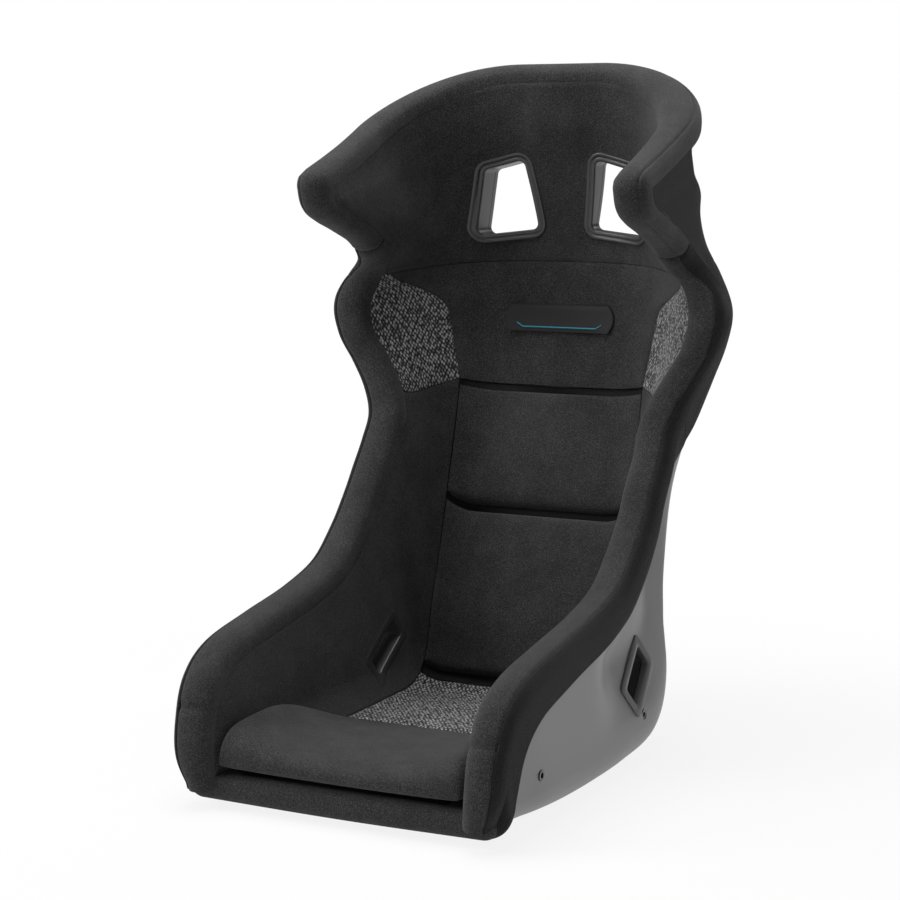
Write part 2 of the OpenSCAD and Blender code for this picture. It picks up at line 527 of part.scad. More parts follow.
// Hook-and-loop strips hold the cushions
module strip(u, cols, depth) {
    lining([u, u + 0.5], cols, function (s, w) foam_lo(s, w) * cols / (cols + 2),
        function (s, w) foam_hi(s, w) * cols / (cols + 2),
        function (s, w, v) from_pad(w, v, depth - strip_t), function (s, w, v) from_pad(w, v, depth));
}
module seat_hook_strips() color("#0d0d0e") placed() {
    for (u = [6, 7.5]) strip(u, 8, seat_recess - gap);
    for (u = [2, 4]) strip(u, 8, -gap);
}
module back_hook_strips() color("#0d0d0e") placed()
    for (u = [9.5, 10.5, 12.5]) strip(u, 10, recess - gap);

// ---- rolled pads along the edges ----
function arch(a, b, n, crest) =
    [for (i = [0:10]) let (g = 18 * i)
        a + (b - a) * (1 - cos(g)) / 2 + n * (gap + ease + crest * pow(max(0, sin(g)), 0.75))];
function edge_a(w, v) = from_shell(w, v, -bond - w[12]);
function square_to(n, m) = unit(n - (n * m) * m);
function side_ring(u, crest) =
    let (w = station(u), a = edge_a(w, 1), b = pad_at(w, 1), m = unit(b - a),
         w0 = station(max(0, u - 0.02)), w1 = station(min(last, u + 0.02)),
         t = unit(edge_a(w1, 1) + pad_at(w1, 1) - edge_a(w0, 1) - pad_at(w0, 1)), n = unit(cross(m, t)),
         d = [0, w[2] - w[0], w[3] - w[1]])
    arch(a, b, n * d < 0 ? -n : n, crest);
function lip_ring(v, crest) =
    let (w = STATIONS[0], a = edge_a(w, v), b = pad_at(w, v), down = 0.45 * ramp(v, lip_join, 0.95))
    arch(a, b, square_to([0, -1, -down], unit(b - a)), crest);
lip_crest = roll_h - 8;
lip_join = 0.82;
module side_roll() skin(concat(
    [for (v = spread(lip_join, 1, 8)) lip_ring(v, lerp(lip_crest, roll_h, ramp(v, lip_join - 0.05, 1)))],
    [for (u = concat([0.12], spread(0.5, roll_end - 0.1, 36), [roll_end]))
        side_ring(u, roll_h * (u > roll_end - 0.05 ? 0.8 : 1))]));
module side_roll_left() color("#222225") handed(1) side_roll();
module side_roll_right() color("#222225") handed(-1) side_roll();
module lip_roll() color("#222225") placed()
    skin([for (v = spread(-lip_join + 0.006, lip_join - 0.006, 26)) lip_ring(v, lip_crest)]);

// The ring's roll runs up one lower edge, round the tip and over the top
function mirrored(ring) = [for (p = ring) [-p[0], p[1], p[2]]];
top_w = STATIONS[last];
function top_normal(v) =
    let (a = edge_a(top_w, v), b = pad_at(top_w, v), e = 0.01,
         t = edge_a(top_w, v + e) + pad_at(top_w, v + e) - edge_a(top_w, v - e) - pad_at(top_w, v - e),
         n = unit(cross(b - a, t)))
    n[2] < 0 ? -n : n;
function top_ring(v) = arch(edge_a(top_w, v), pad_at(top_w, v), top_normal(v), roll_h);
function fan_ring(g) =
    let (a = edge_a(top_w, 1), b = pad_at(top_w, 1), m = unit(b - a), up = top_normal(0.99),
         fwd = square_to([0, -1, 0], m))
    arch(a, b, unit(cos(g) * square_to(fwd - (fwd * up) * up, m) + sin(g) * up), roll_h);
half_ring = concat(
    [for (u = concat([roll_end + 0.03], spread(roll_end + 0.25, last - 0.4, 9), [last - 0.15]))
        side_ring(u, roll_h * (u < roll_end + 0.1 ? 0.8 : 1))],
    [for (g = [-50, -28, -6, 16, 38, 60]) fan_ring(g)],
    [for (v = [0.98, 0.93, 0.86, 0.79, 0.72, 0.66, 0.6, 0.54, 0.48, 0.42, 0.34, 0.17]) top_ring(v)]);
module ring_roll() color("#222225") placed()
    skin(concat(half_ring, [top_ring(0)], [for (i = [len(half_ring) - 1:-1:0]) mirrored(half_ring[i])]));

// ---- covers outside the shell ----
// v at a depth d below the edge, down the wall and then round the corner
function depth_v(w, d) =
    let (h = shell_h(w), r = fit_r(h, w[5], w[6]), run = wall_run(h, r, w[6]))
    d < run ? 1 - (1 - v_arc) * d / run :
    max(v_flat, v_arc - (v_arc - v_flat) * (d - run) / (r * w[6] * PI / 180));
cover_depth = function (u, w)
    depth_v(w, lerp(lerp(16, 26, ramp(u, 0, 10)), 150, ramp(u, 10.5, 17)));
outside = function (u, w, v) from_shell(w, v, -bond - w[12]);
inside = function (u, w, v) from_shell(w, v, -bond - ease);
module rim_cover() lining(rows(1, cover_split), 2, cover_depth, to_edge, outside, inside);
module ring_cover() lining(rows(cover_split + 0.02, last), 12, cover_depth, to_edge, outside, inside);
module rim_cover_left() color("#1e1e20") handed(1) rim_cover();
module rim_cover_right() color("#1e1e20") handed(-1) rim_cover();
module ring_cover_left() color("#1e1e20") handed(1) ring_cover();
module ring_cover_right() color("#1e1e20") handed(-1) ring_cover();

module shoulder_bezel_front_left() color("#77787a") handed(1) shoulder_front();
module shoulder_bezel_front_right() color("#77787a") handed(-1) shoulder_front();
module shoulder_bezel_rear_left() color("#77787a") handed(1) shoulder_rear();
module shoulder_bezel_rear_right() color("#77787a") handed(-1) shoulder_rear();
module lap_bezel_inner_left() color("#77787a") handed(1) lap_inner();
module lap_bezel_inner_right() color("#77787a") handed(-1) lap_inner();
module lap_bezel_outer_left() color("#77787a") handed(1) lap_outer();
module lap_bezel_outer_right() color("#77787a") handed(-1) lap_outer();
module side_inserts_left() color("#b9babd") handed(1) inserts();
module side_inserts_right() color("#b9babd") handed(-1) inserts();

// A plain patch on the chest, sewn on the padding
badge_z = top_z * 0.631;
badge_h = 34;
badge_w = shoulder_w * 0.29;
badge_t = 1.6;
badge_gap = 3 * gap;
module chest_badge() color("#34353a") placed() {
    zs = spread(badge_z - badge_h / 2, badge_z + badge_h / 2, 3);
    xs = spread(-badge_w / 2, badge_w / 2, 12);
    off = function (x) badge_gap + 2.2 * ease * pow(2 * x / badge_w, 2);
    slab([for (z = zs) [for (x = xs) [x, pad_y(abs(x), z) - off(x) - badge_t, z]]],
         [for (z = zs) [for (x = xs) [x, pad_y(abs(x), z) - off(x), z]]]);
}

shell();
base_foam();
back_foam();
side_pad_left();
side_pad_right();
chest_pad();
shoulder_panel_left();
shoulder_panel_right();
head_lining();
seat_cushion();
thigh_cushion();
back_cushion_lower();
back_cushion_upper();
side_roll_left();
side_roll_right();
ring_roll();
lip_roll();
rim_cover_left();
rim_cover_right();
ring_cover_left();
ring_cover_right();
shoulder_bezel_front_left();
shoulder_bezel_front_right();
shoulder_bezel_rear_left();
shoulder_bezel_rear_right();
lap_bezel_inner_left();
lap_bezel_inner_right();
lap_bezel_outer_left();
lap_bezel_outer_right();
side_inserts_left();
side_inserts_right();
chest_badge();
seat_hook_strips();
back_hook_strips();
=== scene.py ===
"""Fixed-back bucket seat with a head ring, dressed for its looks.

The seat's form is a row of stations from the front lip over the hips to the
head ring.  Every piece of padding, the shell and the rolled edges are laid on
that form, in millimetres, and turned into metres as they become meshes.
"""

from __future__ import annotations

import logging
import math
from dataclasses import dataclass, field
from enum import Enum
from functools import cached_property
from typing import Callable, NamedTuple, Sequence

import bmesh
import bpy
from mathutils import Matrix, Vector
from mathutils.kdtree import KDTree

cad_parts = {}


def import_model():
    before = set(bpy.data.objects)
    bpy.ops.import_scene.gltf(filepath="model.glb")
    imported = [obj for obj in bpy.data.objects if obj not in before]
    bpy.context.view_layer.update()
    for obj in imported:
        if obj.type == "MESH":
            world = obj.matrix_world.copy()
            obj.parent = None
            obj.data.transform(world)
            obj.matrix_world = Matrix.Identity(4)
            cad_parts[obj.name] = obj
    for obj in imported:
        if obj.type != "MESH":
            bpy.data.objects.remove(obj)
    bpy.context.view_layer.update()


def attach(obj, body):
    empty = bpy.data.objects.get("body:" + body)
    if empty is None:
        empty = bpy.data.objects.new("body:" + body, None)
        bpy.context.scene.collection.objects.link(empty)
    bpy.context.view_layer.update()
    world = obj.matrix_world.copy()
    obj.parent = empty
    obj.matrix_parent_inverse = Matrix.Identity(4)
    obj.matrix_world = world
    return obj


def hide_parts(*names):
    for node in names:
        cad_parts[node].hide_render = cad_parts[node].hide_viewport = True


LOG = logging.getLogger("seat")
MM = 0.001

Point = Vector
Spot = tuple[float, float]
Section = tuple[float, float, float, float]


class Side(Enum):
    """The sitter's left and right, as signs along X."""

    LEFT = 1
    RIGHT = -1

    @property
    def word(self) -> str:
        """The side's name as it stands in node names."""
        return self.name.lower()

    @property
    def title(self) -> str:
        """The side's name as it stands in piece names."""
        return self.name.capitalize()


class Slot(Enum):
    """The record's material slots, named for the rebuilt pieces."""

    SHELL = "shell"
    BEZEL = "bezel"
    FOAM = "foam"
    BADGE = "badge"
    MESH = "mesh_fabric"
    KNIT = "knit_fabric"


# ---------------------------------------------------------------- small sums


def lerp(a: float, b: float, t: float) -> float:
    """Mix a and b."""
    return a + (b - a) * t


def ramp(x: float, a: float, b: float) -> float:
    """Rise smoothly from 0 at a to 1 at b."""
    t = max(0.0, min(1.0, (x - a) / (b - a)))
    return t * t * (3 - 2 * t)


def bell(x: float, middle: float, width: float) -> float:
    """A smooth bump of height 1 round the middle."""
    return math.exp(-(((x - middle) / width) ** 2))


def spread(a: float, b: float, count: int) -> list[float]:
    """Evenly spaced values from a to b, count steps apart."""
    return [lerp(a, b, i / count) for i in range(count + 1)]


def seek(f: Callable[[float], float], lo: float, hi: float, steps: int = 22) -> float:
    """Find where a rising function crosses zero.

    Args:
        f: The function.
        lo: A value where it is below zero.
        hi: A value where it is above zero.
        steps: How many times the interval is halved.

    Returns:
        The place of the crossing.
    """
    for _ in range(steps):
        mid = (lo + hi) / 2
        if f(mid) < 0:
            lo = mid
        else:
            hi = mid
    return (lo + hi) / 2


# ------------------------------------------------------------------ the form


class Station(NamedTuple):
    """One cross-section of the seat, square to the sitter's back and thighs.

    Attributes:
        shell_y: Depth of the shell at the middle.
        shell_z: Height of the shell at the middle.
        rim_y: Depth of the edge.
        rim_z: Height of the edge.
        half_w: Half the shell's width at the edge.
        shell_r: The shell's corner radius.
        shell_turn: The shell's wall angle in degrees.
        face_y: Depth of the padded face at the middle.
        face_z: Height of the padded face at the middle.
        face_r: The padded face's corner radius.
        face_turn: The padded face's wall angle in degrees.
        roll_w: Width of the rolled pad inside the edge.
        cover_t: Thickness of the cover outside it.
    """

    shell_y: float
    shell_z: float
    rim_y: float
    rim_z: float
    half_w: float
    shell_r: float
    shell_turn: float
    face_y: float
    face_z: float
    face_r: float
    face_turn: float
    roll_w: float
    cover_t: float

    @property
    def shell_full(self) -> float:
        """Height of the shell's cross-section."""
        return math.hypot(self.rim_y - self.shell_y, self.rim_z - self.shell_z)

    @property
    def face_full(self) -> float:
        """Height of the padded cross-section."""
        return math.hypot(self.rim_y - self.face_y, self.rim_z - self.face_z)

    @property
    def face_half_w(self) -> float:
        """Half the width between the rolled pads."""
        return self.half_w - self.roll_w


Edge = Callable[[float, Station], float]
Place = Callable[[float, Station, float], Point]
Face = Callable[[float, Station, float, float, float], Point]


@dataclass(frozen=True)
class SeatForm:
    """The shell and the padded surface, station by station, in millimetres.

    A place on a cross-section is given by v: 0 at the middle, v_flat at the end
    of the flat, v_arc at the end of the corner and 1 at the edge.
    """

    seat_h: float = 835
    base_l: float = 294
    hip_depth: float = 166
    back_lean: float = 127
    hip_w: float = 410
    shoulder_w: float = 516
    head_w: float = 432
    thigh_rim_h: float = 190
    ring_reach: float = 150
    ring_sag: float = 11
    shell_t: float = 5
    flank_dent: float = 24
    dent_run: Spot = (-60, 40)
    dent_top: Spot = (150, 290)
    dent_rise: float = 80
    dent_fade: Spot = (70, 8)
    base_pad_h: float = 49
    back_pad_t: float = 20
    side_roll_w: float = 43
    ring_roll_w: float = 32
    roll_h: float = 22
    cover_t: float = 12
    rim_cover_t: float = 6
    bond: float = 0.8
    gap: float = 0.3
    roll_gap: float = 1.05
    cushion_w: float = 252
    mount_z: float = 63
    mount_pitch: float = 290
    bezel_t: float = 3
    bezel_seat: float = 0.2
    lip_z: float = 14
    lip_reach: float = 1.031
    ring_from: float = 0.87
    v_flat: float = 0.34
    v_arc: float = 0.72
    least_flat: float = 4.0

    @property
    def top_z(self) -> float:
        """Height of the shell's top edge at the middle."""
        return self.seat_h - self.roll_h - 1

    @property
    def mid_y(self) -> float:
        """The middle of the seat from front to back, before it is centred."""
        front = -self.base_l * self.lip_reach - self.roll_h - self.roll_gap
        rear = (self.hip_depth + self.back_lean + self.back_pad_t + self.bezel_t
                + self.bezel_seat)
        return (front + rear) / 2

    @property
    def last(self) -> int:
        """Number of the last station."""
        return len(self.rows) - 1

    def _base(self, ty: float, tz: float, ry: float, rz: float, x: float, rs: float,
              ps: float, sz: float, rp: float, pp: float, roll: float) -> Station:
        """A station of the base.

        Args:
            ty: The middle's place, as a share of the base's length.
            tz: The shell's height at the middle.
            ry: The edge's place, as a share of the base's length.
            rz: The edge's height, as a share of the rim's height beside the thighs.
            x: Half the shell's width.
            rs: The shell's corner radius.
            ps: The shell's wall angle.
            sz: The padded face's height at the middle.
            rp: The padded face's corner radius.
            pp: The padded face's wall angle.
            roll: The roll's width.

        Returns:
            The station.
        """
        return Station(-self.base_l * ty, tz, -self.base_l * ry, self.thigh_rim_h * rz, x, rs,
                       ps, -self.base_l * ty, sz, rp, pp, roll, self.rim_cover_t)

    def _back(self, tz: float, extra: float, ry: float, rz: float, x: float, rs: float,
              ps: float, lean: float, sz: float, rp: float, pp: float, roll: float,
              cover: float) -> Station:
        """A station of the back.

        Args:
            tz: The shell's height at the middle, as a share of the top's.
            extra: How much deeper the shell lies than the back's common padding.
            ry: The edge's place behind the hips' depth.
            rz: The edge's height, as a share of the top's.
            x: Half the shell's width.
            rs: The shell's corner radius.
            ps: The shell's wall angle.
            lean: The padded face's place, as a share of the back's lean.
            sz: The padded face's height, as a share of the top's.
            rp: The padded face's corner radius.
            pp: The padded face's wall angle.
            roll: The roll's width.
            cover: The cover's thickness.

        Returns:
            The station.
        """
        y = self.hip_depth + self.back_lean * lean
        return Station(y + self.back_pad_t + extra, self.top_z * tz, self.hip_depth + ry,
                       self.top_z * rz, x, rs, ps, y, self.top_z * sz, rp, pp, roll, cover)

    @cached_property
    def rows(self) -> list[Station]:
        """Every station from the front lip to the top of the head ring."""
        hx, sx, dx = self.hip_w / 2, self.shoulder_w / 2, self.head_w / 2
        rw, gw, hd = self.side_roll_w, self.ring_roll_w, self.hip_depth
        low, pad, cov, ct = self.lip_z, self.base_pad_h, self.rim_cover_t, self.cover_t
        top, reach, base, back = self.top_z, self.ring_reach, self._base, self._back
        return [
            base(0.997, low, 1.018, 0.158, hx - 22, 12, 88, pad - 9, 6, 80, rw - 14),
            base(0.972, low, self.lip_reach, 0.316, hx - 10, 24, 88, pad - 8, 14, 80, rw - 5),
            base(0.901, low, 1.014, 0.505, hx - 7, 34, 88, pad - 7, 22, 82, rw - 3),
            base(0.794, low, 0.952, 0.705, hx - 4, 34, 89, pad - 5, 30, 82, rw - 1),
            base(0.646, 10, 0.810, 0.832, hx - 1, 38, 90, pad - 3, 35, 83, rw),
            base(0.408, 2, 0.537, 0.916, hx, 46, 90, pad, 38, 84, rw),
            base(0.136, 0, 0.231, 1.000, hx, 46, 90, pad, 40, 84, rw),
            Station(hd * 0.30, 0, 6, top * 0.262, hx, 50, 90, hd * 0.27, pad - 1, 42, 84, rw, cov),
            Station(hd * 0.78, 11, 55, top * 0.308, hx, 50, 90, hd * 0.72, pad, 46, 84, rw, cov),
            Station(hd * 1.15, 44, 90, top * 0.355, hx, 62, 87, hd * 0.90, pad + 29, 50, 84, rw,
                    cov),
            back(0.128, 28, -52, 0.397, hx - 1, 80, 83, 0.000, 0.167, 50, 82, rw, cov),
            back(0.223, 15, -27, 0.438, hx - 1, 94, 80, 0.189, 0.254, 50, 80, rw, cov),
            back(0.328, 4, -9, 0.479, hx - 1, 106, 79, 0.402, 0.346, 55, 76, rw + 1, cov),
            back(0.426, 0, 1, 0.522, sx - 43, 108, 80, 0.598, 0.438, 70, 66, rw + 1, cov + 1),
            back(0.518, -2, 5, 0.568, sx - 24, 116, 81, 0.748, 0.522, 110, 56, rw, cov + 2),
            back(0.599, -4, 2, 0.612, sx - 6, 128, 82, 0.866, 0.601, 160, 50, rw - 3, cov + 2),
            back(0.666, -2, 4, 0.655, sx, 138, 82, 0.929, 0.663, 180, 50, rw - 3, cov + 2),
            back(0.724, -2, 12, 0.700, sx - 17, 142, 82, 0.976, 0.719, 160, 56, rw - 6, ct - 3),
            back(0.773, -2, -1, 0.736, dx + 4, 140, 84, 1.000, 0.768, 140, 66, gw + 2, ct - 2),
            back(0.820, 4, 109 - reach, 0.772, dx - 3, 148, 86, 0.953, 0.817, 132, 76, gw - 2,
                 ct - 1),
            back(0.865, 9, 59 - reach, 0.797, dx - 2, 152, 88, 0.882, 0.861, 134, 84, gw - 2, ct),
            back(0.909, 13, 22 - reach, 0.812, dx - 1, 154, 89, 0.803, 0.905, 136, 87, gw - 1, ct),
            back(0.953, 16, 6 - reach, 0.823, dx, 156, 90, 0.724, 0.950, 138, 89, gw, ct),
            back(1.000, 15, -reach, 0.842, dx, 156, 90, 0.677, 0.998, 140, 89, gw, ct),
        ]

    def station(self, u: float) -> Station:
        """The blended station at u.

        Args:
            u: A place along the seat, counted in stations.

        Returns:
            The station there, on a smooth curve through its neighbours.
        """
        i = max(0, min(int(math.floor(u)), self.last - 1))
        b, c = self.rows[i], self.rows[i + 1]
        a = self.rows[i - 1] if i > 0 else [2 * p - q for p, q in zip(b, c)]
        d = self.rows[i + 2] if i < self.last - 1 else [2 * q - p for p, q in zip(b, c)]
        t = u - i
        return Station(*(0.5 * (2 * q + (r - p) * t + (2 * p - 5 * q + 4 * r - s) * t * t
                                + (3 * q - p - 3 * r + s) * t * t * t)
                         for p, q, r, s in zip(a, b, c, d)))

    # -- one cross-section: a flat, an arc and a straight wall

    @staticmethod
    def fit_r(h: float, r: float, a: float) -> float:
        """The corner radius that fits a height."""
        return min(r, 0.98 * h / (1 - math.cos(math.radians(a))))

    @staticmethod
    def wall_run(h: float, r: float, a: float) -> float:
        """Length of the straight wall."""
        a = math.radians(a)
        return (h - r * (1 - math.cos(a))) / math.sin(a)

    def shell_section(self, w: Station) -> Section:
        """The shell's half width, height, corner radius and wall angle."""
        full = w.shell_full
        return w.half_w, full, self.fit_r(full, w.shell_r, w.shell_turn), w.shell_turn

    def face_section(self, w: Station) -> Section:
        """The padded face's half width, height, corner radius and wall angle."""
        full = w.face_full
        return w.face_half_w, full, self.fit_r(full, w.face_r, w.face_turn), w.face_turn

    def flat_w(self, x: float, h: float, r: float, a: float) -> float:
        """Half width of the flat."""
        q = math.radians(a)
        return max(self.least_flat, x - r * math.sin(q) - self.wall_run(h, r, a) * math.cos(q))

    def profile(self, x: float, h: float, r: float, a: float, v: float) -> Spot:
        """The point of a half cross-section at v.

        Args:
            x: Half its width at the edge.
            h: Its height.
            r: Its corner radius.
            a: Its wall angle in degrees.
            v: The place between the middle and the edge.

        Returns:
            How far the point lies sideways and upwards from the middle.
        """
        f, q = self.flat_w(x, h, r, a), math.radians(a)
        if v <= self.v_flat:
            return f * v / self.v_flat, 0.0
        if v <= self.v_arc:
            b = q * (v - self.v_flat) / (self.v_arc - self.v_flat)
            return f + r * math.sin(b), r * (1 - math.cos(b))
        t = (v - self.v_arc) / (1 - self.v_arc)
        return (lerp(f + r * math.sin(q), x, t), lerp(r * (1 - math.cos(q)), h, t))

    def profile_v(self, x: float, h: float, r: float, a: float, at_x: float) -> float:
        """The v at a distance from the middle of a half cross-section.

        Args:
            x: Half its width at the edge.
            h: Its height.
            r: Its corner radius.
            a: Its wall angle in degrees.
            at_x: The distance.

        Returns:
            The v, at most 1.
        """
        f = self.flat_w(x, h, r, a)
        p = f + r * math.sin(math.radians(a))
        if at_x <= f:
            return self.v_flat * at_x / f
        if at_x <= p:
            turn = math.degrees(math.asin((at_x - f) / r))
            return self.v_flat + (self.v_arc - self.v_flat) * turn / a
        return min(1.0, self.v_arc + (1 - self.v_arc) * (at_x - p) / (x - p))

    def profile_x(self, x: float, h: float, r: float, a: float, at_h: float) -> float:
        """The half width of a cross-section above its flat.

        Args:
            x: Half its width at the edge.
            h: Its height.
            r: Its corner radius.
            a: Its wall angle in degrees.
            at_h: The height over the flat.

        Returns:
            The half width there.
        """
        f, q = self.flat_w(x, h, r, a), math.radians(a)
        p = r * (1 - math.cos(q))
        if at_h <= 0:
            return f
        if at_h <= p:
            return f + math.sqrt(max(0.0, r * r - (r - at_h) ** 2))
        return f + r * math.sin(q) + (x - f - r * math.sin(q)) * (at_h - p) / max(1.0, h - p)

    def dent(self, w: Station, h: float, full: float) -> float:
        """How far a flank is pinched in round the lap slots.

        Args:
            w: The station.
            h: The height on its cross-section.
            full: The cross-section's whole height.

        Returns:
            The depth of the dent.
        """
        return (self.flank_dent * ramp(w.shell_y, *self.dent_run)
                * (1 - ramp(w.shell_z, *self.dent_top))
                * max(0.0, min(1.0, (h - self.mount_z + 2) / self.dent_rise))
                * (1 - ramp(h, full - self.dent_fade[0], full - self.dent_fade[1])))

    def sag(self, w: Station, t: float) -> float:
        """How far the ring's upper edge dips between its tips and the back."""
        return (self.ring_sag * ramp(w.shell_z, self.top_z * self.ring_from, self.top_z)
                * math.sin(math.pi * min(1.0, t)))

    def shell_at(self, w: Station, v: float) -> Point:
        """A point of the shell's outer face.

        Args:
            w: The station.
            v: The place across it, below 0 on the sitter's right.

        Returns:
            The point.
        """
        full = w.shell_full
        dy, dz = (w.rim_y - w.shell_y) / full, (w.rim_z - w.shell_z) / full
        px, ph = self.profile(*self.shell_section(w), abs(v))
        x = (px - self.dent(w, ph, full)) * (-1 if v < 0 else 1)
        return Vector((x, w.shell_y + dy * ph,
                       max(0.0, w.shell_z + dz * ph) - self.sag(w, ph / full)))

    def pad_at(self, w: Station, v: float) -> Point:
        """A point of the padded surface.

        Args:
            w: The station.
            v: The place across it, below 0 on the sitter's right.

        Returns:
            The point.
        """
        full = w.face_full
        dy, dz = (w.rim_y - w.face_y) / full, (w.rim_z - w.face_z) / full
        px, ph = self.profile(*self.face_section(w), abs(v))
        return Vector((px * (-1 if v < 0 else 1), w.face_y + dy * ph,
                       w.face_z + dz * ph - self.sag(w, ph / full)))

    def pad_v(self, w: Station, x: float) -> float:
        """The v of the padded surface at x from the middle."""
        return self.profile_v(*self.face_section(w), x)

    def shell_v(self, w: Station, x: float) -> float:
        """The v of the shell at x from the middle."""
        return self.profile_v(*self.shell_section(w), x)

    def inward(self, w: Station, v: float) -> Point:
        """The direction from the shell to the padded surface."""
        return (self.pad_at(w, v) - self.shell_at(w, v)).normalized()

    def from_shell(self, w: Station, v: float, d: float) -> Point:
        """A point d inside the shell's outer face."""
        return self.shell_at(w, v) + self.inward(w, v) * d

    def from_pad(self, w: Station, v: float, d: float) -> Point:
        """A point d behind the padded surface."""
        return self.pad_at(w, v) - self.inward(w, v) * d

    # -- places over a point given in front view or in side view

    BACK_FROM = 13
    FLANK_SPAN = (3, 12)

    def pad_y(self, x: float, z: float) -> float:
        """Depth of the padded back at (x, z).

        Args:
            x: The distance from the middle.
            z: The height.

        Returns:
            The depth, along Y.
        """
        def height(s: float) -> float:
            """How far the padded back at a station lies above z."""
            w = self.station(s)
            return self.pad_at(w, self.pad_v(w, x)).z - z
        w = self.station(seek(height, self.BACK_FROM, self.last))
        return self.pad_at(w, self.pad_v(w, x)).y

    def shell_y(self, x: float, z: float) -> float:
        """Depth of the shell's outer face at (x, z).

        Args:
            x: The distance from the middle.
            z: The height.

        Returns:
            The depth, along Y.
        """
        def height(s: float) -> float:
            """How far the shell at a station lies above z."""
            w = self.station(s)
            return self.shell_at(w, self.shell_v(w, x)).z - z
        w = self.station(seek(height, self.BACK_FROM, self.last))
        return self.shell_at(w, self.shell_v(w, x)).y

    def flank_pad_x(self, y: float, z: float) -> float:
        """Half width of the padded flank at (y, z).

        Args:
            y: The depth.
            z: The height.

        Returns:
            The half width, along X.
        """
        def turn(s: float) -> float:
            """On which side of a padded cross-section (y, z) lies."""
            w = self.station(s)
            return (w.rim_y - w.face_y) * (z - w.face_z) - (w.rim_z - w.face_z) * (y - w.face_y)
        w = self.station(seek(turn, *self.FLANK_SPAN))
        h = ((y - w.face_y) * (w.rim_y - w.face_y)
             + (z - w.face_z) * (w.rim_z - w.face_z)) / w.face_full
        return self.profile_x(*self.face_section(w), h)

    def flank_shell_x(self, y: float, z: float) -> float:
        """Half width of the shell's flank at (y, z).

        Args:
            y: The depth.
            z: The height.

        Returns:
            The half width, along X.
        """
        def turn(s: float) -> float:
            """On which side of the shell's cross-section (y, z) lies."""
            w = self.station(s)
            return (w.rim_y - w.shell_y) * (z - w.shell_z) - (w.rim_z - w.shell_z) * (y - w.shell_y)
        w = self.station(seek(turn, *self.FLANK_SPAN))
        full = w.shell_full
        h = ((y - w.shell_y) * (w.rim_y - w.shell_y)
             + (z - w.shell_z) * (w.rim_z - w.shell_z)) / full
        return self.profile_x(*self.shell_section(w), h) - self.dent(w, h, full)

    def metres(self, p: Point, side: int = 1) -> Vector:
        """A point of the form in the seat's own frame, in metres."""
        return Vector((p.x * side, p.y - self.mid_y, p.z)) * MM


# ------------------------------------------------------------------ finishes


class Nodes:
    """The node tree of a material or a world, built up in short calls."""

    def __init__(self, owner: bpy.types.Material | bpy.types.World) -> None:
        """Start with an empty tree.

        Args:
            owner: The material or world.
        """
        owner.use_nodes = True
        self.tree = owner.node_tree
        self.tree.nodes.clear()

    def add(self, kind: str, **values: object) -> bpy.types.Node:
        """Add a node, setting its properties and its inputs by name.

        Args:
            kind: The node's type name.
            values: Properties, or inputs with underscores for spaces.

        Returns:
            The new node.
        """
        node = self.tree.nodes.new(kind)
        for key, value in values.items():
            if hasattr(node, key):
                setattr(node, key, value)
            else:
                node.inputs[key.replace("_", " ")].default_value = value
        return node

    def link(self, a: bpy.types.NodeSocket, b: bpy.types.NodeSocket) -> None:
        """Join an output to an input."""
        self.tree.links.new(a, b)

    def maths(self, what: str, a: bpy.types.NodeSocket,
              b: bpy.types.NodeSocket | float) -> bpy.types.NodeSocket:
        """Join two values by a sum.

        Args:
            what: The kind of sum.
            a: The first value.
            b: The second value, a socket or a number.

        Returns:
            The result.
        """
        node = self.add("ShaderNodeMath", operation=what)
        self.link(a, node.inputs[0])
        if isinstance(b, (int, float)):
            node.inputs[1].default_value = b
        else:
            self.link(b, node.inputs[1])
        return node.outputs[0]

    def blend(self, share: bpy.types.NodeSocket, a: bpy.types.NodeSocket,
              b: bpy.types.NodeSocket, out: str) -> None:
        """Blend two shaders into the output.

        Args:
            share: The second shader's share.
            a: The first shader.
            b: The second shader.
            out: The output node's type name.
        """
        mix = self.add("ShaderNodeMixShader")
        self.link(share, mix.inputs["Fac"])
        self.link(a, mix.inputs[1])
        self.link(b, mix.inputs[2])
        self.link(mix.outputs["Shader"], self.add(out).inputs["Surface"])


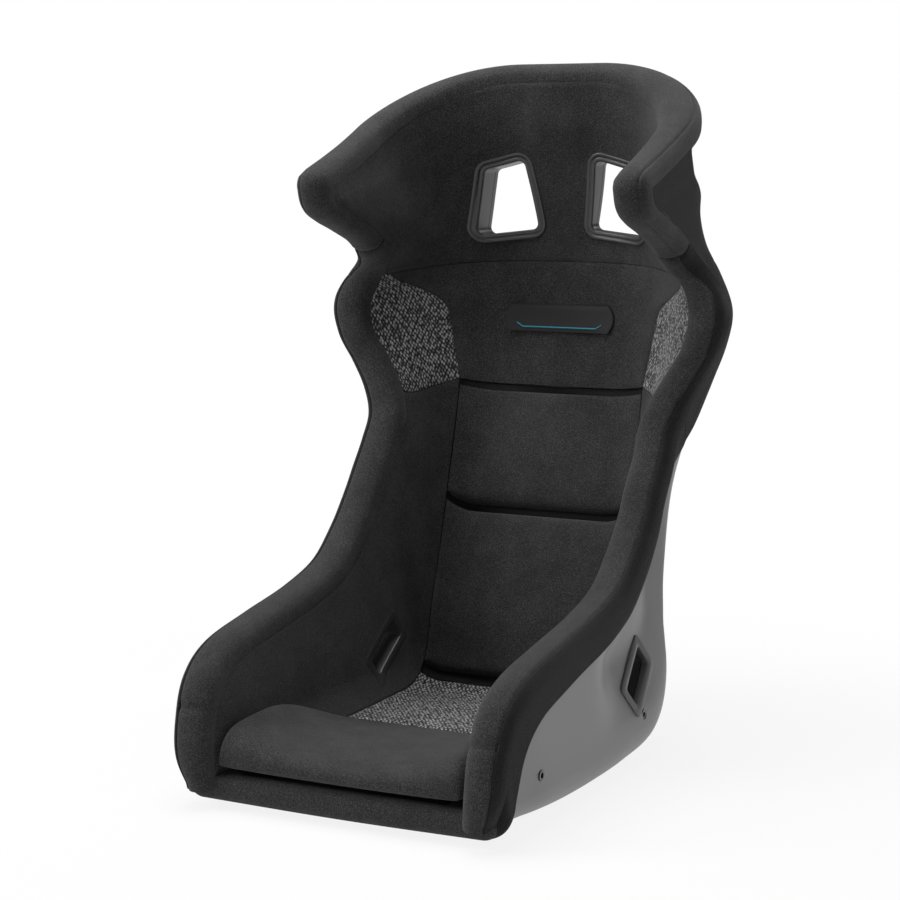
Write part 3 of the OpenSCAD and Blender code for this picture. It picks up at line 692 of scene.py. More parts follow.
class Graph(Nodes):
    """A material with one shader."""

    def __init__(self, name: str) -> None:
        """Start a material with only its output and shader."""
        self.material = bpy.data.materials.new(name)
        super().__init__(self.material)
        self.shader = self.add("ShaderNodeBsdfPrincipled")
        out = self.add("ShaderNodeOutputMaterial")
        self.link(self.shader.outputs["BSDF"], out.inputs["Surface"])

    def coords(self, which: str) -> bpy.types.NodeSocket:
        """The Object or UV coordinates."""
        return self.add("ShaderNodeTexCoord").outputs[which]

    def noise(self, vector: bpy.types.NodeSocket, scale: float, detail: float = 3.0,
              rough: float = 0.5) -> bpy.types.NodeSocket:
        """A noise texture's value.

        Args:
            vector: The coordinates.
            scale: How fine it is.
            detail: How many finer layers it has.
            rough: How strong those are.

        Returns:
            The value.
        """
        node = self.add("ShaderNodeTexNoise", Scale=scale, Detail=detail, Roughness=rough)
        self.link(vector, node.inputs["Vector"])
        return node.outputs["Fac"]

    def cells(self, vector: bpy.types.NodeSocket, scale: float,
              random: float = 1.0) -> bpy.types.NodeSocket:
        """The distance to the nearest cell point.

        Args:
            vector: The coordinates.
            scale: How fine the cells are.
            random: How far they stray from a grid.

        Returns:
            The distance.
        """
        node = self.add("ShaderNodeTexVoronoi", Scale=scale, Randomness=random)
        self.link(vector, node.inputs["Vector"])
        return node.outputs["Distance"]

    def ramp(self, value: bpy.types.NodeSocket,
             stops: Sequence[tuple[float, float]]) -> bpy.types.NodeSocket:
        """Turn a value into greys through a colour ramp.

        Args:
            value: The value to read.
            stops: Pairs of place and grey.

        Returns:
            The ramp's colour.
        """
        node = self.add("ShaderNodeValToRGB")
        band = node.color_ramp
        band.elements[0].position, band.elements[1].position = stops[0][0], stops[-1][0]
        for place, _ in stops[1:-1]:
            band.elements.new(place)
        for element, (_, grey) in zip(band.elements, stops):
            element.color = (grey, grey, grey * 1.02, 1)
        self.link(value, node.inputs["Fac"])
        return node.outputs["Color"]

    def bump(self, height: bpy.types.NodeSocket, distance: float, strength: float = 1.0,
             under: bpy.types.NodeSocket | None = None) -> bpy.types.NodeSocket:
        """A bump from a height.

        Args:
            height: The height.
            distance: How far the height reaches, in metres.
            strength: How much of it counts.
            under: Another bump that it lies on.

        Returns:
            The normal.
        """
        node = self.add("ShaderNodeBump", Strength=strength, Distance=distance)
        self.link(height, node.inputs["Height"])
        if under is not None:
            self.link(under, node.inputs["Normal"])
        return node.outputs["Normal"]

    def surface(self, **values: object) -> None:
        """Set the shader's own sockets."""
        for key, value in values.items():
            self.shader.inputs[key.replace("_", " ")].default_value = value

    def feed(self, **sockets: bpy.types.NodeSocket) -> None:
        """Link sockets to the shader's inputs."""
        for key, value in sockets.items():
            self.link(value, self.shader.inputs[key.replace("_", " ")])


@dataclass(frozen=True)
class Knit:
    """Fine brushed knit with a faint speckle."""

    name: str = "Knit"
    dark: float = 0.009
    light: float = 0.075
    sheen: float = 0.14

    def material(self) -> bpy.types.Material:
        """Build the material."""
        g = Graph(self.name)
        at = g.coords("Object")
        loops = g.cells(at, 900)
        fuzz = g.noise(at, 900, 3, 0.7)
        patch = g.noise(at, 30, 3, 0.6)
        mixed = g.maths("ADD", g.maths("MULTIPLY", fuzz, 0.86), g.maths("MULTIPLY", patch, 0.14))
        mid = lerp(self.dark, self.light, 0.26)
        g.feed(Base_Color=g.ramp(mixed, ((0.38, self.dark), (0.50, mid), (0.64, self.light))),
               Roughness=g.ramp(fuzz, ((0.3, 0.95), (0.7, 0.78))),
               Normal=g.bump(fuzz, 0.0010, 0.8, g.bump(loops, 0.0005, 0.6)))
        g.surface(Sheen_Weight=self.sheen, Sheen_Roughness=0.45, Specular_IOR_Level=0.25)
        return g.material


@dataclass(frozen=True)
class OpenKnit:
    """Coarse open knit: pale raised stitches over dark holes, along the piece's map."""

    name: str = "OpenKnit"
    pitch: float = 0.0034
    dark: float = 0.012
    light: float = 0.42

    def material(self) -> bpy.types.Material:
        """Build the material."""
        g = Graph(self.name)
        uv = g.coords("UV")
        turn = g.add("ShaderNodeMapping")
        turn.inputs["Rotation"].default_value = (0, 0, math.radians(40))
        turn.inputs["Scale"].default_value = (1, 0.62, 1)
        g.link(uv, turn.inputs["Vector"])
        dots = g.cells(turn.outputs["Vector"], 1 / self.pitch, 0.42)
        fuzz = g.noise(g.coords("Object"), 420, 3, 0.6)
        height = g.maths("SUBTRACT", dots, g.maths("MULTIPLY", fuzz, 0.22))
        g.feed(Base_Color=g.ramp(height, ((0.05, self.light), (0.26, self.light * 0.45),
                                          (0.42, self.dark))),
               Roughness=g.ramp(fuzz, ((0.3, 0.9), (0.7, 0.7))),
               Normal=g.bump(g.maths("MULTIPLY", height, -1.0), 0.0016, 0.8))
        g.surface(Sheen_Weight=0.2, Sheen_Roughness=0.4, Specular_IOR_Level=0.35)
        return g.material


@dataclass(frozen=True)
class Satin:
    """Moulded plastic or lacquer with a faint grain."""

    name: str
    dark: float
    light: float
    rough: float = 0.38
    grain: float = 420
    coat: float = 0.0

    def material(self) -> bpy.types.Material:
        """Build the material."""
        g = Graph(self.name)
        at = g.coords("Object")
        fine = g.noise(at, self.grain, 3, 0.5)
        wide = g.noise(at, 7, 3, 0.5)
        g.feed(Base_Color=g.ramp(wide, ((0.3, self.dark), (0.7, self.light))),
               Roughness=g.ramp(wide, ((0.3, self.rough), (0.7, self.rough + 0.07))),
               Normal=g.bump(fine, 0.00012, 0.35))
        g.surface(Coat_Weight=self.coat, Coat_Roughness=0.2)
        return g.material


@dataclass(frozen=True)
class Metal:
    """Zinc-plated steel, turned."""

    name: str = "Zinc"

    def material(self) -> bpy.types.Material:
        """Build the material."""
        g = Graph(self.name)
        at = g.coords("Object")
        fine = g.noise(at, 700, 2, 0.5)
        g.feed(Base_Color=g.ramp(g.noise(at, 60), ((0.3, 0.10), (0.7, 0.16))),
               Roughness=g.ramp(fine, ((0.3, 0.28), (0.7, 0.45))),
               Normal=g.bump(fine, 0.00005, 0.3))
        g.surface(Metallic=1.0)
        return g.material


@dataclass(frozen=True)
class Hooks:
    """Hook tape: a field of tiny stiff loops."""

    name: str = "HookTape"

    def material(self) -> bpy.types.Material:
        """Build the material."""
        g = Graph(self.name)
        pile = g.cells(g.coords("Object"), 700, 0.3)
        g.feed(Base_Color=g.ramp(pile, ((0.1, 0.03), (0.5, 0.006))),
               Normal=g.bump(pile, 0.0006, 0.9))
        g.surface(Roughness=0.7)
        return g.material


@dataclass
class Finishes:
    """Every finish of the seat, made once."""

    knit: bpy.types.Material = field(default_factory=lambda: Knit().material())
    # A darker copy of the knit: painted shade on the outward faces, the rolls' outer sides and the rim
    # and ring covers.
    trim: bpy.types.Material = field(
        default_factory=lambda: Knit("ShadedKnit", 0.004, 0.022, 0.06).material())
    cushion: bpy.types.Material = field(
        default_factory=lambda: Knit("CushionKnit", 0.010, 0.075, 0.16).material())
    open_knit: bpy.types.Material = field(default_factory=lambda: OpenKnit().material())
    shell: bpy.types.Material = field(
        default_factory=lambda: Satin("ShellSatin", 0.195, 0.21, 0.44, 300, 0.1).material())
    bezel: bpy.types.Material = field(
        default_factory=lambda: Satin("BezelSatin", 0.045, 0.06, 0.33, 500).material())
    duct: bpy.types.Material = field(
        default_factory=lambda: Satin("DuctSatin", 0.05, 0.07, 0.3, 500, 0.2).material())
    rim: bpy.types.Material = field(
        default_factory=lambda: Satin("RimSatin", 0.085, 0.10, 0.38, 400, 0.1).material())
    badge: bpy.types.Material = field(
        default_factory=lambda: Satin("BadgeSatin", 0.006, 0.010, 0.6, 900).material())
    zinc: bpy.types.Material = field(default_factory=lambda: Metal().material())
    hooks: bpy.types.Material = field(default_factory=lambda: Hooks().material())
    foam: bpy.types.Material = field(
        default_factory=lambda: Knit("Foam", 0.008, 0.018, 0.05).material())
    thread: bpy.types.Material = field(
        default_factory=lambda: Satin("Thread", 0.02, 0.05, 0.6, 2500).material())
    teal: bpy.types.Material = field(default_factory=lambda: Finishes.coloured())

    @staticmethod
    def coloured() -> bpy.types.Material:
        """The patch's one coloured cord."""
        g = Graph("TealCord")
        fine = g.noise(g.coords("Object"), 1800, 2, 0.5)
        node = g.add("ShaderNodeValToRGB")
        node.color_ramp.elements[0].color = (0.0, 0.16, 0.25, 1)
        node.color_ramp.elements[1].color = (0.02, 0.36, 0.48, 1)
        g.link(fine, node.inputs["Fac"])
        g.feed(Base_Color=node.outputs["Color"], Normal=g.bump(fine, 0.0002, 0.6))
        g.surface(Roughness=0.5, Sheen_Weight=0.2)
        return g.material


# ------------------------------------------------------------ building pieces


@dataclass
class Workshop:
    """Turns grids of points into closed pieces and dresses them."""

    form: SeatForm
    finishes: Finishes
    cut_sharp: float = 35

    def _grid(self, outer: Sequence[Sequence[Point]]) -> bmesh.types.BMesh:
        """A sheet through a grid of points, with a map in metres.

        Args:
            outer: Rows of points, in metres.

        Returns:
            The open sheet, its vertices numbered by row and column.
        """
        m, n = len(outer), len(outer[0])
        mesh = bmesh.new()
        bmesh.ops.create_grid(mesh, x_segments=m - 1, y_segments=n - 1, size=1)
        row = mesh.verts.layers.int.new("row")
        col = mesh.verts.layers.int.new("col")
        for vert in mesh.verts:
            vert[row] = round((vert.co.x + 1) / 2 * (m - 1))
            vert[col] = round((vert.co.y + 1) / 2 * (n - 1))
        mid = n // 2
        along = [0.0]
        for i in range(1, m):
            along.append(along[-1] + (outer[i][mid] - outer[i - 1][mid]).length)
        across = []
        for i in range(m):
            line = [0.0]
            for j in range(1, n):
                line.append(line[-1] + (outer[i][j] - outer[i][j - 1]).length)
            across.append([d - line[mid] for d in line])
        for vert in mesh.verts:
            vert.co = outer[vert[row]][vert[col]]
        uv = mesh.loops.layers.uv.new("weave")
        for face in mesh.faces:
            for loop in face.loops:
                i, j = loop.vert[row], loop.vert[col]
                loop[uv].uv = (across[i][j], along[i])
        return mesh

    def close_up(self, name: str, mesh: bmesh.types.BMesh, material: bpy.types.Material,
                 sharp: float = 50) -> bpy.types.Object:
        """Turn a bmesh into an object with one finish.

        Args:
            name: The piece's name.
            mesh: The shape.
            material: Its finish.
            sharp: Edges that turn more than this many degrees stay sharp.

        Returns:
            The new object.
        """
        bmesh.ops.recalc_face_normals(mesh, faces=mesh.faces)
        data = bpy.data.meshes.new(name)
        mesh.to_mesh(data)
        mesh.free()
        data.polygons.foreach_set("use_smooth", [True] * len(data.polygons))
        data.set_sharp_from_angle(angle=math.radians(sharp))
        data.materials.append(material)
        piece = bpy.data.objects.new(name, data)
        bpy.context.scene.collection.objects.link(piece)
        return piece

    def slab(self, name: str, outer: Sequence[Sequence[Point]], inner: Sequence[Sequence[Point]],
             material: bpy.types.Material) -> bpy.types.Object:
        """A closed piece between two grids of points.

        Args:
            name: The piece's name.
            outer: The grid of its face, in metres.
            inner: The grid behind it, with the same rows and columns.
            material: Its finish.

        Returns:
            The new object.
        """
        mesh = self._grid(outer)
        row, col = mesh.verts.layers.int["row"], mesh.verts.layers.int["col"]
        made = bmesh.ops.extrude_face_region(mesh, geom=list(mesh.faces), use_keep_orig=True)
        for vert in (g for g in made["geom"] if isinstance(g, bmesh.types.BMVert)):
            vert.co = inner[vert[row]][vert[col]]
        return self.close_up(name, mesh, material)

    def skin(self, name: str, rings: Sequence[Sequence[Point]],
             material: bpy.types.Material, loop: bool = False) -> bpy.types.Object:
        """A closed piece through rings of points.

        Args:
            name: The piece's name.
            rings: Rings of points, in metres.
            material: Its finish.
            loop: Whether the last ring joins the first.

        Returns:
            The new object.
        """
        rows = [list(r) + [r[0]] for r in rings]
        if loop:
            rows.append(rows[0])
        mesh = self._grid(rows)
        bmesh.ops.remove_doubles(mesh, verts=mesh.verts, dist=1e-7)
        if not loop:
            rim = [e for e in mesh.edges if e.is_boundary]
            bmesh.ops.holes_fill(mesh, edges=rim, sides=0)
        return self.close_up(name, mesh, material)

    def lining(self, name: str, rows: Sequence[float], cols: int,
               lo: Edge, hi: Edge, outer: Face, inner: Place,
               material: bpy.types.Material, side: int = 1) -> bpy.types.Object:
        """A piece of padding over a run of stations.

        Args:
            name: The piece's name.
            rows: The stations.
            cols: Steps across.
            lo: v of one edge at a station.
            hi: v of the other edge.
            outer: A point of the face, given the place and its station, v, and the
                share along and across the piece.
            inner: A point of the hidden side.
            material: Its finish.
            side: 1, or -1 for the mirrored piece.

        Returns:
            The new object.
        """
        face, back = [], []
        first, run = rows[0], rows[-1] - rows[0]
        for u in rows:
            w = self.form.station(u)
            line_v = spread(lo(u, w), hi(u, w), cols)
            share = (u - first) / run
            face.append([self.form.metres(outer(u, w, v, share, k / cols), side)
                         for k, v in enumerate(line_v)])
            back.append([self.form.metres(inner(u, w, v), side) for v in line_v])
        return self.slab(name, face, back, material)

    def cut(self, piece: bpy.types.Object, cutters: Sequence[bpy.types.Object]) -> None:
        """Cut closed shapes out of a piece and remove them.

        Args:
            piece: The piece to cut.
            cutters: The shapes, which don't touch each other.
        """
        for cutter in cutters:
            step = piece.modifiers.new("Cut", "BOOLEAN")
            step.operation, step.solver, step.object = "DIFFERENCE", "EXACT", cutter
        bake(piece)
        data = piece.data
        data.polygons.foreach_set("use_smooth", [True] * len(data.polygons))
        data.set_sharp_from_angle(angle=math.radians(self.cut_sharp))
        for cutter in cutters:
            bpy.data.objects.remove(cutter, do_unlink=True)

    def prism(self, name: str, points: Sequence[Point], along: Vector) -> bpy.types.Object:
        """A closed prism over an outline, for cutting.

        Args:
            name: The prism's name.
            points: Points round the outline, in metres.
            along: The way from its one end to the other, in metres.

        Returns:
            The new object.
        """
        mesh = bmesh.new()
        disc = bmesh.ops.create_circle(mesh, cap_ends=True, segments=len(points), radius=1)
        for vert, point in zip(disc["verts"], points):
            vert.co = point
        made = bmesh.ops.extrude_face_region(mesh, geom=list(mesh.faces), use_keep_orig=True)
        top = [g for g in made["geom"] if isinstance(g, bmesh.types.BMVert)]
        bmesh.ops.translate(mesh, verts=top, vec=along)
        return self.close_up(name, mesh, self.finishes.foam)

    def stitches(self, name: str, path: Sequence[Point], up: Sequence[Vector],
                 pitch: float = 4.2, length: float = 3.0, radius: float = 0.45) -> bpy.types.Object:
        """A row of thread stitches along a path.

        Args:
            name: The piece's name.
            path: Points of the seam, in metres.
            up: The surface's direction at each point.
            pitch: Distance between stitches, in millimetres.
            length: Length of a stitch, in millimetres.
            radius: Half the thread's thickness, in millimetres.

        Returns:
            The new object.
        """
        mesh = bmesh.new()
        walked, due = 0.0, pitch / 2
        for i in range(1, len(path)):
            step = path[i] - path[i - 1]
            run = step.length / MM
            while run > 0 and due <= walked + run:
                t = (due - walked) / run
                at = path[i - 1].lerp(path[i], t)
                normal = up[i].normalized()
                ahead = step.normalized()
                aside = normal.cross(ahead).normalized()
                turn = Matrix((aside, normal, ahead)).transposed().to_4x4()
                place = Matrix.Translation(at) @ turn
                made = bmesh.ops.create_icosphere(mesh, subdivisions=1, radius=1)
                bmesh.ops.scale(mesh, verts=made["verts"],
                                vec=(radius * MM, radius * MM * 0.8, length / 2 * MM))
                bmesh.ops.transform(mesh, verts=made["verts"], matrix=place)
                due += pitch
            walked += run
        return self.close_up(name, mesh, self.finishes.thread, 180)


def bake(piece: bpy.types.Object) -> None:
    """Apply a piece's modifiers to its mesh.

    Args:
        piece: The piece.
    """
    graph = bpy.context.evaluated_depsgraph_get()
    data = bpy.data.meshes.new_from_object(piece.evaluated_get(graph))
    piece.modifiers.clear()
    piece.data = data
    data.name = piece.name


def settle(piece: bpy.types.Object, body: str, slot: Slot, nodes: Sequence[str] = ()) -> bpy.types.Object:
    """Attach a piece to its body and hide the CAD nodes it stands for.

    Args:
        piece: The piece.
        body: The body it rides on.
        slot: The record's material slot; not used.
        nodes: The CAD nodes it stands for.

    Returns:
        The same piece.
    """
    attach(piece, body)
    if nodes:
        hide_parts(*nodes)
    LOG.info("%s on %s, %d faces", piece.name, body, len(piece.data.polygons))
    return piece


# ---------------------------------------------------------------- the slots


@dataclass
class HarnessSlots:
    """The shoulder and lap slots with their bezels."""

    shop: Workshop
    shoulder_z: float = 666
    shoulder_x: float = 76
    shoulder_h: float = 88
    shoulder_w: float = 78
    lap_y: float = 76
    lap_z: float = 108
    lap_l: float = 70
    lap_w: float = 27
    slope: float = 35
    sleeve: float = 2.2
    corner: float = 8
    crisp_corner: float = 4.5
    crisp_growth: float = 0.25
    facet: float = 0.6
    front_stop: float = 2
    rear_stop: float = 1
    shoulder_from: float = 400
    shoulder_run: float = 300
    lap_from: float = 100
    lap_run: float = 150

    @property
    def hole(self) -> float:
        """How far the holes for the sleeves reach beyond the openings."""
        return self.sleeve + self.shop.form.gap

    @property
    def shoulder_corners(self) -> list[Spot]:
        """A shoulder slot's corners in front view."""
        w, h, x, z = self.shoulder_w / 2, self.shoulder_h / 2, self.shoulder_x, self.shoulder_z
        return [(x - w, z - h + 4), (x - w + 13, z + h + 4), (x + w * 0.62, z + h - 9),
                (x + w, z - h - 5)]

    @property
    def lap_corners(self) -> list[Spot]:
        """A lap slot's corners in side view."""
        a = math.radians(self.slope)
        ly, lz = self.lap_l / 2 * math.cos(a), self.lap_l / 2 * math.sin(a)
        wy, wz = self.lap_w / 2 * math.sin(a), -self.lap_w / 2 * math.cos(a)
        y, z = self.lap_y, self.lap_z
        return [(y - ly - wy, z - lz - wz), (y + ly - wy, z + lz - wz),
                (y + ly + wy, z + lz + wz), (y - ly + wy, z - lz + wz)]

    def outline(self, corners: Sequence[Spot], grow: float, radius: float, fine: int = 7,
                step: float = 6.0) -> list[Spot]:
        """A rounded outline, grown from its corners.

        Args:
            corners: The corners, in order.
            grow: How far it is moved out.
            radius: Radius of its corners.
            fine: Steps in half a corner.
            step: Greatest distance between points on a straight side.

        Returns:
            Points round the outline.
        """
        q = [Vector(c) for c in corners]
        count = len(q)
        moved, ways = [], []
        for i in range(count):
            a = (q[i - 1] - q[i]).normalized()
            b = (q[(i + 1) % count] - q[i]).normalized()
            half = math.acos(max(-1, min(1, a.dot(b)))) / 2
            out = -(a + b).normalized()
            moved.append(q[i] + out * grow / math.sin(half))
            ways.append((a, b, half, out))
        points: list[Vector] = []
        for i in range(count):
            a, b, half, out = ways[i]
            centre = moved[i] - out * radius / math.sin(half)
            spin = -1 if a.x * b.y - a.y * b.x > 0 else 1
            for k in range(-fine, fine + 1):
                g = spin * (math.pi / 2 - half) * k / fine
                turned = Vector((out.x * math.cos(g) - out.y * math.sin(g),
                                 out.x * math.sin(g) + out.y * math.cos(g)))
                points.append(centre + turned * radius)
        filled: list[Spot] = []
        for i, p in enumerate(points):
            nxt = points[(i + 1) % len(points)]
            parts = max(1, int((nxt - p).length / step))
            filled += [tuple(p.lerp(nxt, k / parts)) for k in range(parts)]
        return filled

    def cutters(self, lap: bool, grow: float, sides: Sequence[int]) -> list[bpy.types.Object]:
        """Prisms through the slots.

        Args:
            lap: Whether the lap slots are meant, or else the shoulder slots.
            grow: How far beyond the opening they reach.
            sides: The signs of the sides wanted.

        Returns:
            The cutting shapes.
        """
        form, made = self.shop.form, []
        corners = self.lap_corners if lap else self.shoulder_corners
        ring = self.outline(corners, grow, self.corner + grow, 5, math.inf)
        for s in sides:
            if lap:
                points = [form.metres(Vector((self.lap_from, y, z)), s) for y, z in ring]
                along = Vector((self.lap_run * s, 0, 0)) * MM
            else:
                points = [form.metres(Vector((x, self.shoulder_from, z)), s) for x, z in ring]
                along = Vector((0, -self.shoulder_run, 0)) * MM
            made.append(self.shop.prism("Cutter", points, along))
        return made

    def bezel(self, name: str, corners: Sequence[Spot], crisp: bool,
              face: Callable[[float, float], float], end: Callable[[float, float], float],
              at: Callable[[float, float, float, float], Point], section: Sequence[Spot],
              side: int, material: bpy.types.Material) -> bpy.types.Object:
        """A flat rim with a sleeve through the wall.

        Args:
            name: The piece's name.
            corners: The opening's corners.
            crisp: Whether the rim's outer corners are tight.
            face: Depth of the surface under the rim.
            end: Depth at which the sleeve ends.
            at: A point from a place, a depth and a height over it.
            section: The rim's section, as (distance out, height) pairs.
            side: 1, or -1 for the mirrored piece.
            material: Its finish.

        Returns:
            The new object.
        """
        near, more = (self.crisp_corner, self.crisp_growth) if crisp else (self.corner, 1.0)
        base = self.outline(corners, 0, near)
        loops = [self.outline(corners, d, near + d * more) for d, _ in section]
        inner = self.outline(corners, self.sleeve, near + self.sleeve * more)
        count = min(len(base), len(inner), *(len(p) for p in loops))
        rings = []
        for k in range(count):
            share = k / count

            def pick(loop: Sequence[Spot]) -> Spot:
                """The point of a loop at this share of its points."""
                return loop[int(share * len(loop) + 0.5) % len(loop)]
            ring = []
            for loop, (_, t) in zip(loops, section):
                p = pick(loop)
                ring.append(at(p[0], p[1], face(*p), t))
            low, deep = pick(base), pick(inner)
            ring.append(at(low[0], low[1], end(*deep), 0))
            ring.append(at(deep[0], deep[1], end(*deep), 0))
            ring.append(at(deep[0], deep[1], face(*deep), self.facet))
            rings.append([self.shop.form.metres(p, side) for p in ring])
        return self.shop.skin(name, rings, material, loop=True)

    def build(self) -> None:
        """Make the eight bezels."""
        form, fin = self.shop.form, self.shop.finishes
        rim = [(10.9, 0.6), (11.2, 1.6), (10.9, 2.7), (10.0, 3.3), (8.8, 3.4), (7.7, 3.1),
               (7.0, 2.2), (6.2, 2.0), (5.4, 2.3), (4.7, 3.2), (3.6, 3.6), (2.0, 3.5),
               (0.8, 2.9), (0.1, 1.8), (0.0, 0.0)]
        flat = [(11.0, 0.6), (11.0, 1.8), (10.4, 2.5), (9.0, 2.8), (5.0, 2.8), (1.4, 2.7),
                (0.4, 2.2), (0.0, 1.2)]
        front, rear = form.shell_t + self.front_stop, form.shell_t + self.rear_stop
        for side in Side:
            s = side.value
            jobs = (
                ("ShoulderBezelFront", "shoulder_bezel_front", self.shoulder_corners, form.pad_y,
                 lambda x, z: form.shell_y(x, z) - front,
                 lambda x, z, d, h: Vector((x, d - h, z)), rim, fin.bezel),
                ("ShoulderBezelRear", "shoulder_bezel_rear", self.shoulder_corners, form.shell_y,
                 lambda x, z: form.shell_y(x, z) - rear,
                 lambda x, z, d, h: Vector((x, d + h, z)), rim, fin.bezel),
                ("LapBezelInner", "lap_bezel_inner", self.lap_corners, form.flank_pad_x,
                 lambda y, z: form.flank_shell_x(y, z) - front,
                 lambda y, z, d, h: Vector((d - h, y, z)), flat, fin.duct),
                ("LapBezelOuter", "lap_bezel_outer", self.lap_corners, form.flank_shell_x,
                 lambda y, z: form.flank_shell_x(y, z) - rear,
                 lambda y, z, d, h: Vector((d + h, y, z)), flat, fin.rim),
            )
            for title, node, corners, face, end, at, section, material in jobs:
                piece = self.bezel(title + side.title, corners, node.startswith("lap"), face,
                                   end, at, section, s, material)
                settle(piece, "seat", Slot.BEZEL, [f"{node}_{side.word}"])


# ---------------------------------------------------------------- the shell


@dataclass
class Shell:
    """The moulded shell with its side inserts."""

    shop: Workshop
    slots: HarnessSlots
    insert_d: float = 12
    mount_at: float = 0.43
    bore_in: float = 3
    bore_l: float = 24
    row_step: int = 7
    col_steps: int = 140

    def build(self) -> None:
        """Make the shell and finish the inserts."""
        form = self.shop.form
        vs = spread(-1, 1, self.col_steps)
        outer, inner = [], []
        for u in spread(0, form.last, form.last * self.row_step):
            w = form.station(u)
            outer.append([form.metres(form.from_shell(w, v, 0)) for v in vs])
            inner.append([form.metres(form.from_shell(w, v, form.shell_t)) for v in vs])
        shell = self.shop.slab("Shell", outer, inner, self.shop.finishes.shell)
        cutters = self.slots.cutters(False, self.slots.hole, (1, -1))
        cutters += self.slots.cutters(True, self.slots.hole, (1, -1))
        cutters += [self.bore(s, k) for s in (1, -1) for k in (-1, 1)]
        self.shop.cut(shell, cutters)
        settle(shell, "seat", Slot.SHELL, ["shell"])
        for side in Side:
            self.coat(f"side_inserts_{side.word}", self.shop.finishes.zinc)
        self.coat("seat_hook_strips", self.shop.finishes.hooks)
        self.coat("back_hook_strips", self.shop.finishes.hooks)

    def bore(self, side: int, end: int) -> bpy.types.Object:
        """A cylinder through the shell at one insert.

        Args:
            side: The side's sign.
            end: -1 for the front insert, 1 for the rear one.

        Returns:
            The cutting shape.
        """
        form = self.shop.form
        y = form.hip_depth * self.mount_at + (end - 1) * form.mount_pitch / 2
        middle = form.metres(Vector((form.hip_w / 2 - self.bore_in, y, form.mount_z)), side)
        mesh = bmesh.new()
        radius = (self.insert_d / 2 + form.gap) * MM
        bmesh.ops.create_cone(mesh, cap_ends=True, segments=48, radius1=radius, radius2=radius,
                              depth=self.bore_l * MM)
        bmesh.ops.rotate(mesh, verts=mesh.verts, cent=(0, 0, 0),
                         matrix=Matrix.Rotation(math.pi / 2, 3, "Y"))
        bmesh.ops.translate(mesh, verts=mesh.verts, vec=middle)
        return self.shop.close_up("Bore", mesh, self.shop.finishes.shell)

    @staticmethod
    def coat(node: str, material: bpy.types.Material) -> None:
        """Give a CAD node its finish."""
        data = bpy.data.objects[node].data
        data.materials.clear()
        data.materials.append(material)


# -------------------------------------------------------------- the padding


